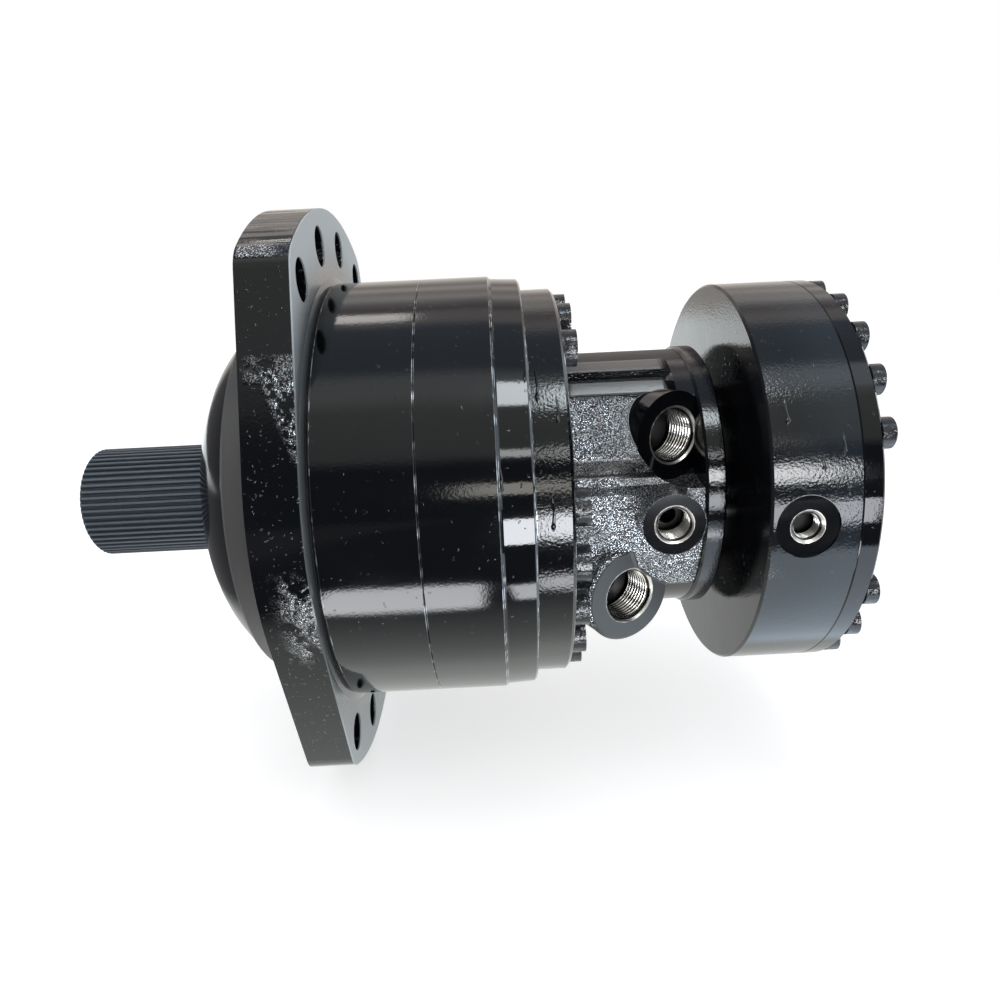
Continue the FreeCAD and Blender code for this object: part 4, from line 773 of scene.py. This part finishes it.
# %% A helical ridge inside a port
def thread(name, port):
    inward = -port["out"]
    first = inward.cross(Vector((0, 0, 1))).normalized()
    second = inward.cross(first)
    pitch, bore = port["pitch"], port["bore"]
    tall = THREAD_HEIGHT * pitch
    start = port["rim"] - bore - 0.5 * pitch
    steps = 56
    count = int(steps * (port["depth"] - start - 1.1 * pitch) / pitch)
    section = ((0.04, 0.0), (0.44, 1.0), (0.56, 1.0), (0.96, 0.0))
    points, faces = [], []
    for step in range(count + 1):
        turn = 2 * math.pi * step / steps
        fade = min(1.0, step / (0.4 * steps), (count - step) / (0.4 * steps))
        across = first * math.cos(turn) + second * math.sin(turn)
        for share, lift in section:
            depth = start + pitch * (step / steps + share)
            radius = bore + 0.00006 - (tall + 0.00006) * lift * max(fade, 0.05)
            points.append(port["mouth"] + inward * depth + across * radius)
        if step:
            last = 4 * step
            for side in range(4):
                beside = (side + 1) % 4
                faces.append((last + side, last + beside, last + beside - 4, last + side - 4))
    faces += [(0, 1, 2, 3), (4 * count + 3, 4 * count + 2, 4 * count + 1, 4 * count)]
    made = mesh_object(name, points, faces)
    made.data.materials.append(cut_iron)
    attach(made, "housing")
    return made


threads = [thread("thread_in_%s_port" % name, port) for name, port in PORTS.items()]
print("thread faces:", sum(len(piece.data.polygons) for piece in threads))

# %% A small plug that closes the drilled mouth of the brake's oil feed, flush with the milled flat
FEED_MOUTH = (0.22755, -0.0938, 0.0022)
FEED_RADIUS = 0.00115


def round_plug(name, mouth, radius, deep, finish):
    """A closed cylinder whose flat front lies in the mouth and whose body goes deep inward, along +Y."""
    sides = 32
    points = []
    for depth in (0.0, deep):
        for side in range(sides):
            turn = 2 * math.pi * side / sides
            x, z = mouth[0] + radius * math.cos(turn), mouth[2] + radius * math.sin(turn)
            points.append((x, mouth[1] + depth, z))
    faces = [tuple(range(sides)), tuple(range(2 * sides - 1, sides - 1, -1))]
    for side in range(sides):
        after = (side + 1) % sides
        faces.append((side, side + sides, after + sides, after))
    made = mesh_object(name, points, faces)
    made.data.materials.append(finish)
    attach(made, "housing")
    return made


plug = round_plug("feed_plug", FEED_MOUTH, FEED_RADIUS, 0.002, drum_enamel)
print("plug faces:", len(plug.data.polygons))

# %% [markdown]
# ## Runs and drops in the paint
# The enamel was sprayed thick. It ran down from the seams and dried there as narrow ridges with a
# drop at the lower end. Each run is a small closed shell that follows the round of its drum.


# %% One run of paint on a drum
RUN_ROOT, RUN_EDGE = 0.00025, 0.00002  # how far its underside and its thin edge lie under the paint


def paint_run(name, x, angle, length, width, thick, radius, finish):
    """A run that starts at angle, in degrees above the front, and goes down by length along the round.

    Its height and width swell near the lower end, where the drop dried, and die out at both ends.
    """
    rows, columns = 30, 9
    top, bottom = [], []
    for row in range(rows + 1):
        share = row / rows
        drop = math.exp(-(((share - 0.86) / 0.085) ** 2))
        start = math.sin(math.pi * min(1.0, share / 0.24) / 2)
        ends = start * math.sqrt(max(0.0, 1 - share**10))
        lift = thick * (0.42 + 0.58 * drop) * ends
        half = 0.5 * width * (0.55 + 0.45 * drop) * max(ends, 0.04)
        turn = math.radians(angle) - share * length / radius
        sway = 0.10 * width * math.sin(7 * share + 40 * x)
        for column in range(columns + 1):
            side = 2 * column / columns - 1
            high = radius + lift * math.cos(side * math.pi / 2) ** 1.5 - RUN_EDGE
            across = x + sway + side * half
            for sheet, reach in ((top, high), (bottom, radius - RUN_ROOT)):
                sheet.append((across, -reach * math.cos(turn), reach * math.sin(turn)))
    under = len(top)
    wide = columns + 1
    faces = []
    for row in range(rows):
        for column in range(columns):
            a = row * wide + column
            quad = (a, a + 1, a + 1 + wide, a + wide)
            faces.append(quad)
            faces.append(tuple(under + corner for corner in reversed(quad)))
    border = [*range(wide), *(row * wide + columns for row in range(1, rows + 1))]
    border += [rows * wide + column for column in range(columns - 1, -1, -1)]
    border += [row * wide for row in range(rows - 1, 0, -1)]
    for index, corner in enumerate(border):
        following = border[(index + 1) % len(border)]
        faces.append((following, corner, under + corner, under + following))
    made = mesh_object(name, top + bottom, faces, smooth=True)
    made.data.materials.append(finish)
    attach(made, "housing")
    return made


# %% The runs that show: place on X, angle, length, width, thickness, radius of the drum and finish
RING_ROUND, COVER_ROUND, DRUM_ROUND = 0.1015, 0.0963, 0.0947
RUNS = [
    (0.0962, 63, 0.0200, 0.0026, 0.0007, 0.1027, ring_enamel),
    (0.0966, 20, 0.0120, 0.0030, 0.0009, 0.1022, ring_enamel),
    (0.1008, 16, 0.0110, 0.0022, 0.0005, RING_ROUND, ring_enamel),
    (0.1046, 22, 0.0150, 0.0018, 0.0004, RING_ROUND, ring_enamel),
    (0.0990, -12, 0.0090, 0.0034, 0.0008, RING_ROUND, ring_enamel),
    (0.1082, 48, 0.0180, 0.0020, 0.0004, RING_ROUND, ring_enamel),
    (0.1130, 44, 0.0160, 0.0022, 0.0005, COVER_ROUND, ring_enamel),
    (0.1168, 12, 0.0140, 0.0024, 0.0004, COVER_ROUND, ring_enamel),
    (0.1205, 36, 0.0120, 0.0020, 0.0004, COVER_ROUND, ring_enamel),
    (0.2105, 33, 0.0110, 0.0030, 0.0004, DRUM_ROUND, drum_enamel),
    (0.2235, 19, 0.0070, 0.0024, 0.0003, DRUM_ROUND, drum_enamel),
    (0.2320, 24, 0.0090, 0.0022, 0.0003, DRUM_ROUND, drum_enamel),
]
print("runs that show:", len(RUNS))

# %% A few runs like them on the far side
FAR_PLACES = (0.0975, 0.1060, 0.1150, 0.1200, 0.2120, 0.2300)
FAR_WIDTH, FAR_THICK = 0.0024, 0.0005
random.seed(11)
far_runs = [(random.choice(FAR_PLACES), 0.008 + 0.010 * random.random()) for _ in range(10)]
for x, length in far_runs:
    angle = 200 + 10 * random.randint(-6, 6)
    radius = DRUM_ROUND if x > 0.2 else COVER_ROUND if x > 0.11 else RING_ROUND
    finish = drum_enamel if x > 0.2 else ring_enamel
    RUNS.append((x, angle, length, FAR_WIDTH, FAR_THICK, radius, finish))
runs = [paint_run("paint_run_%d" % number, *run) for number, run in enumerate(RUNS, 1)]
print("runs of paint:", len(runs))
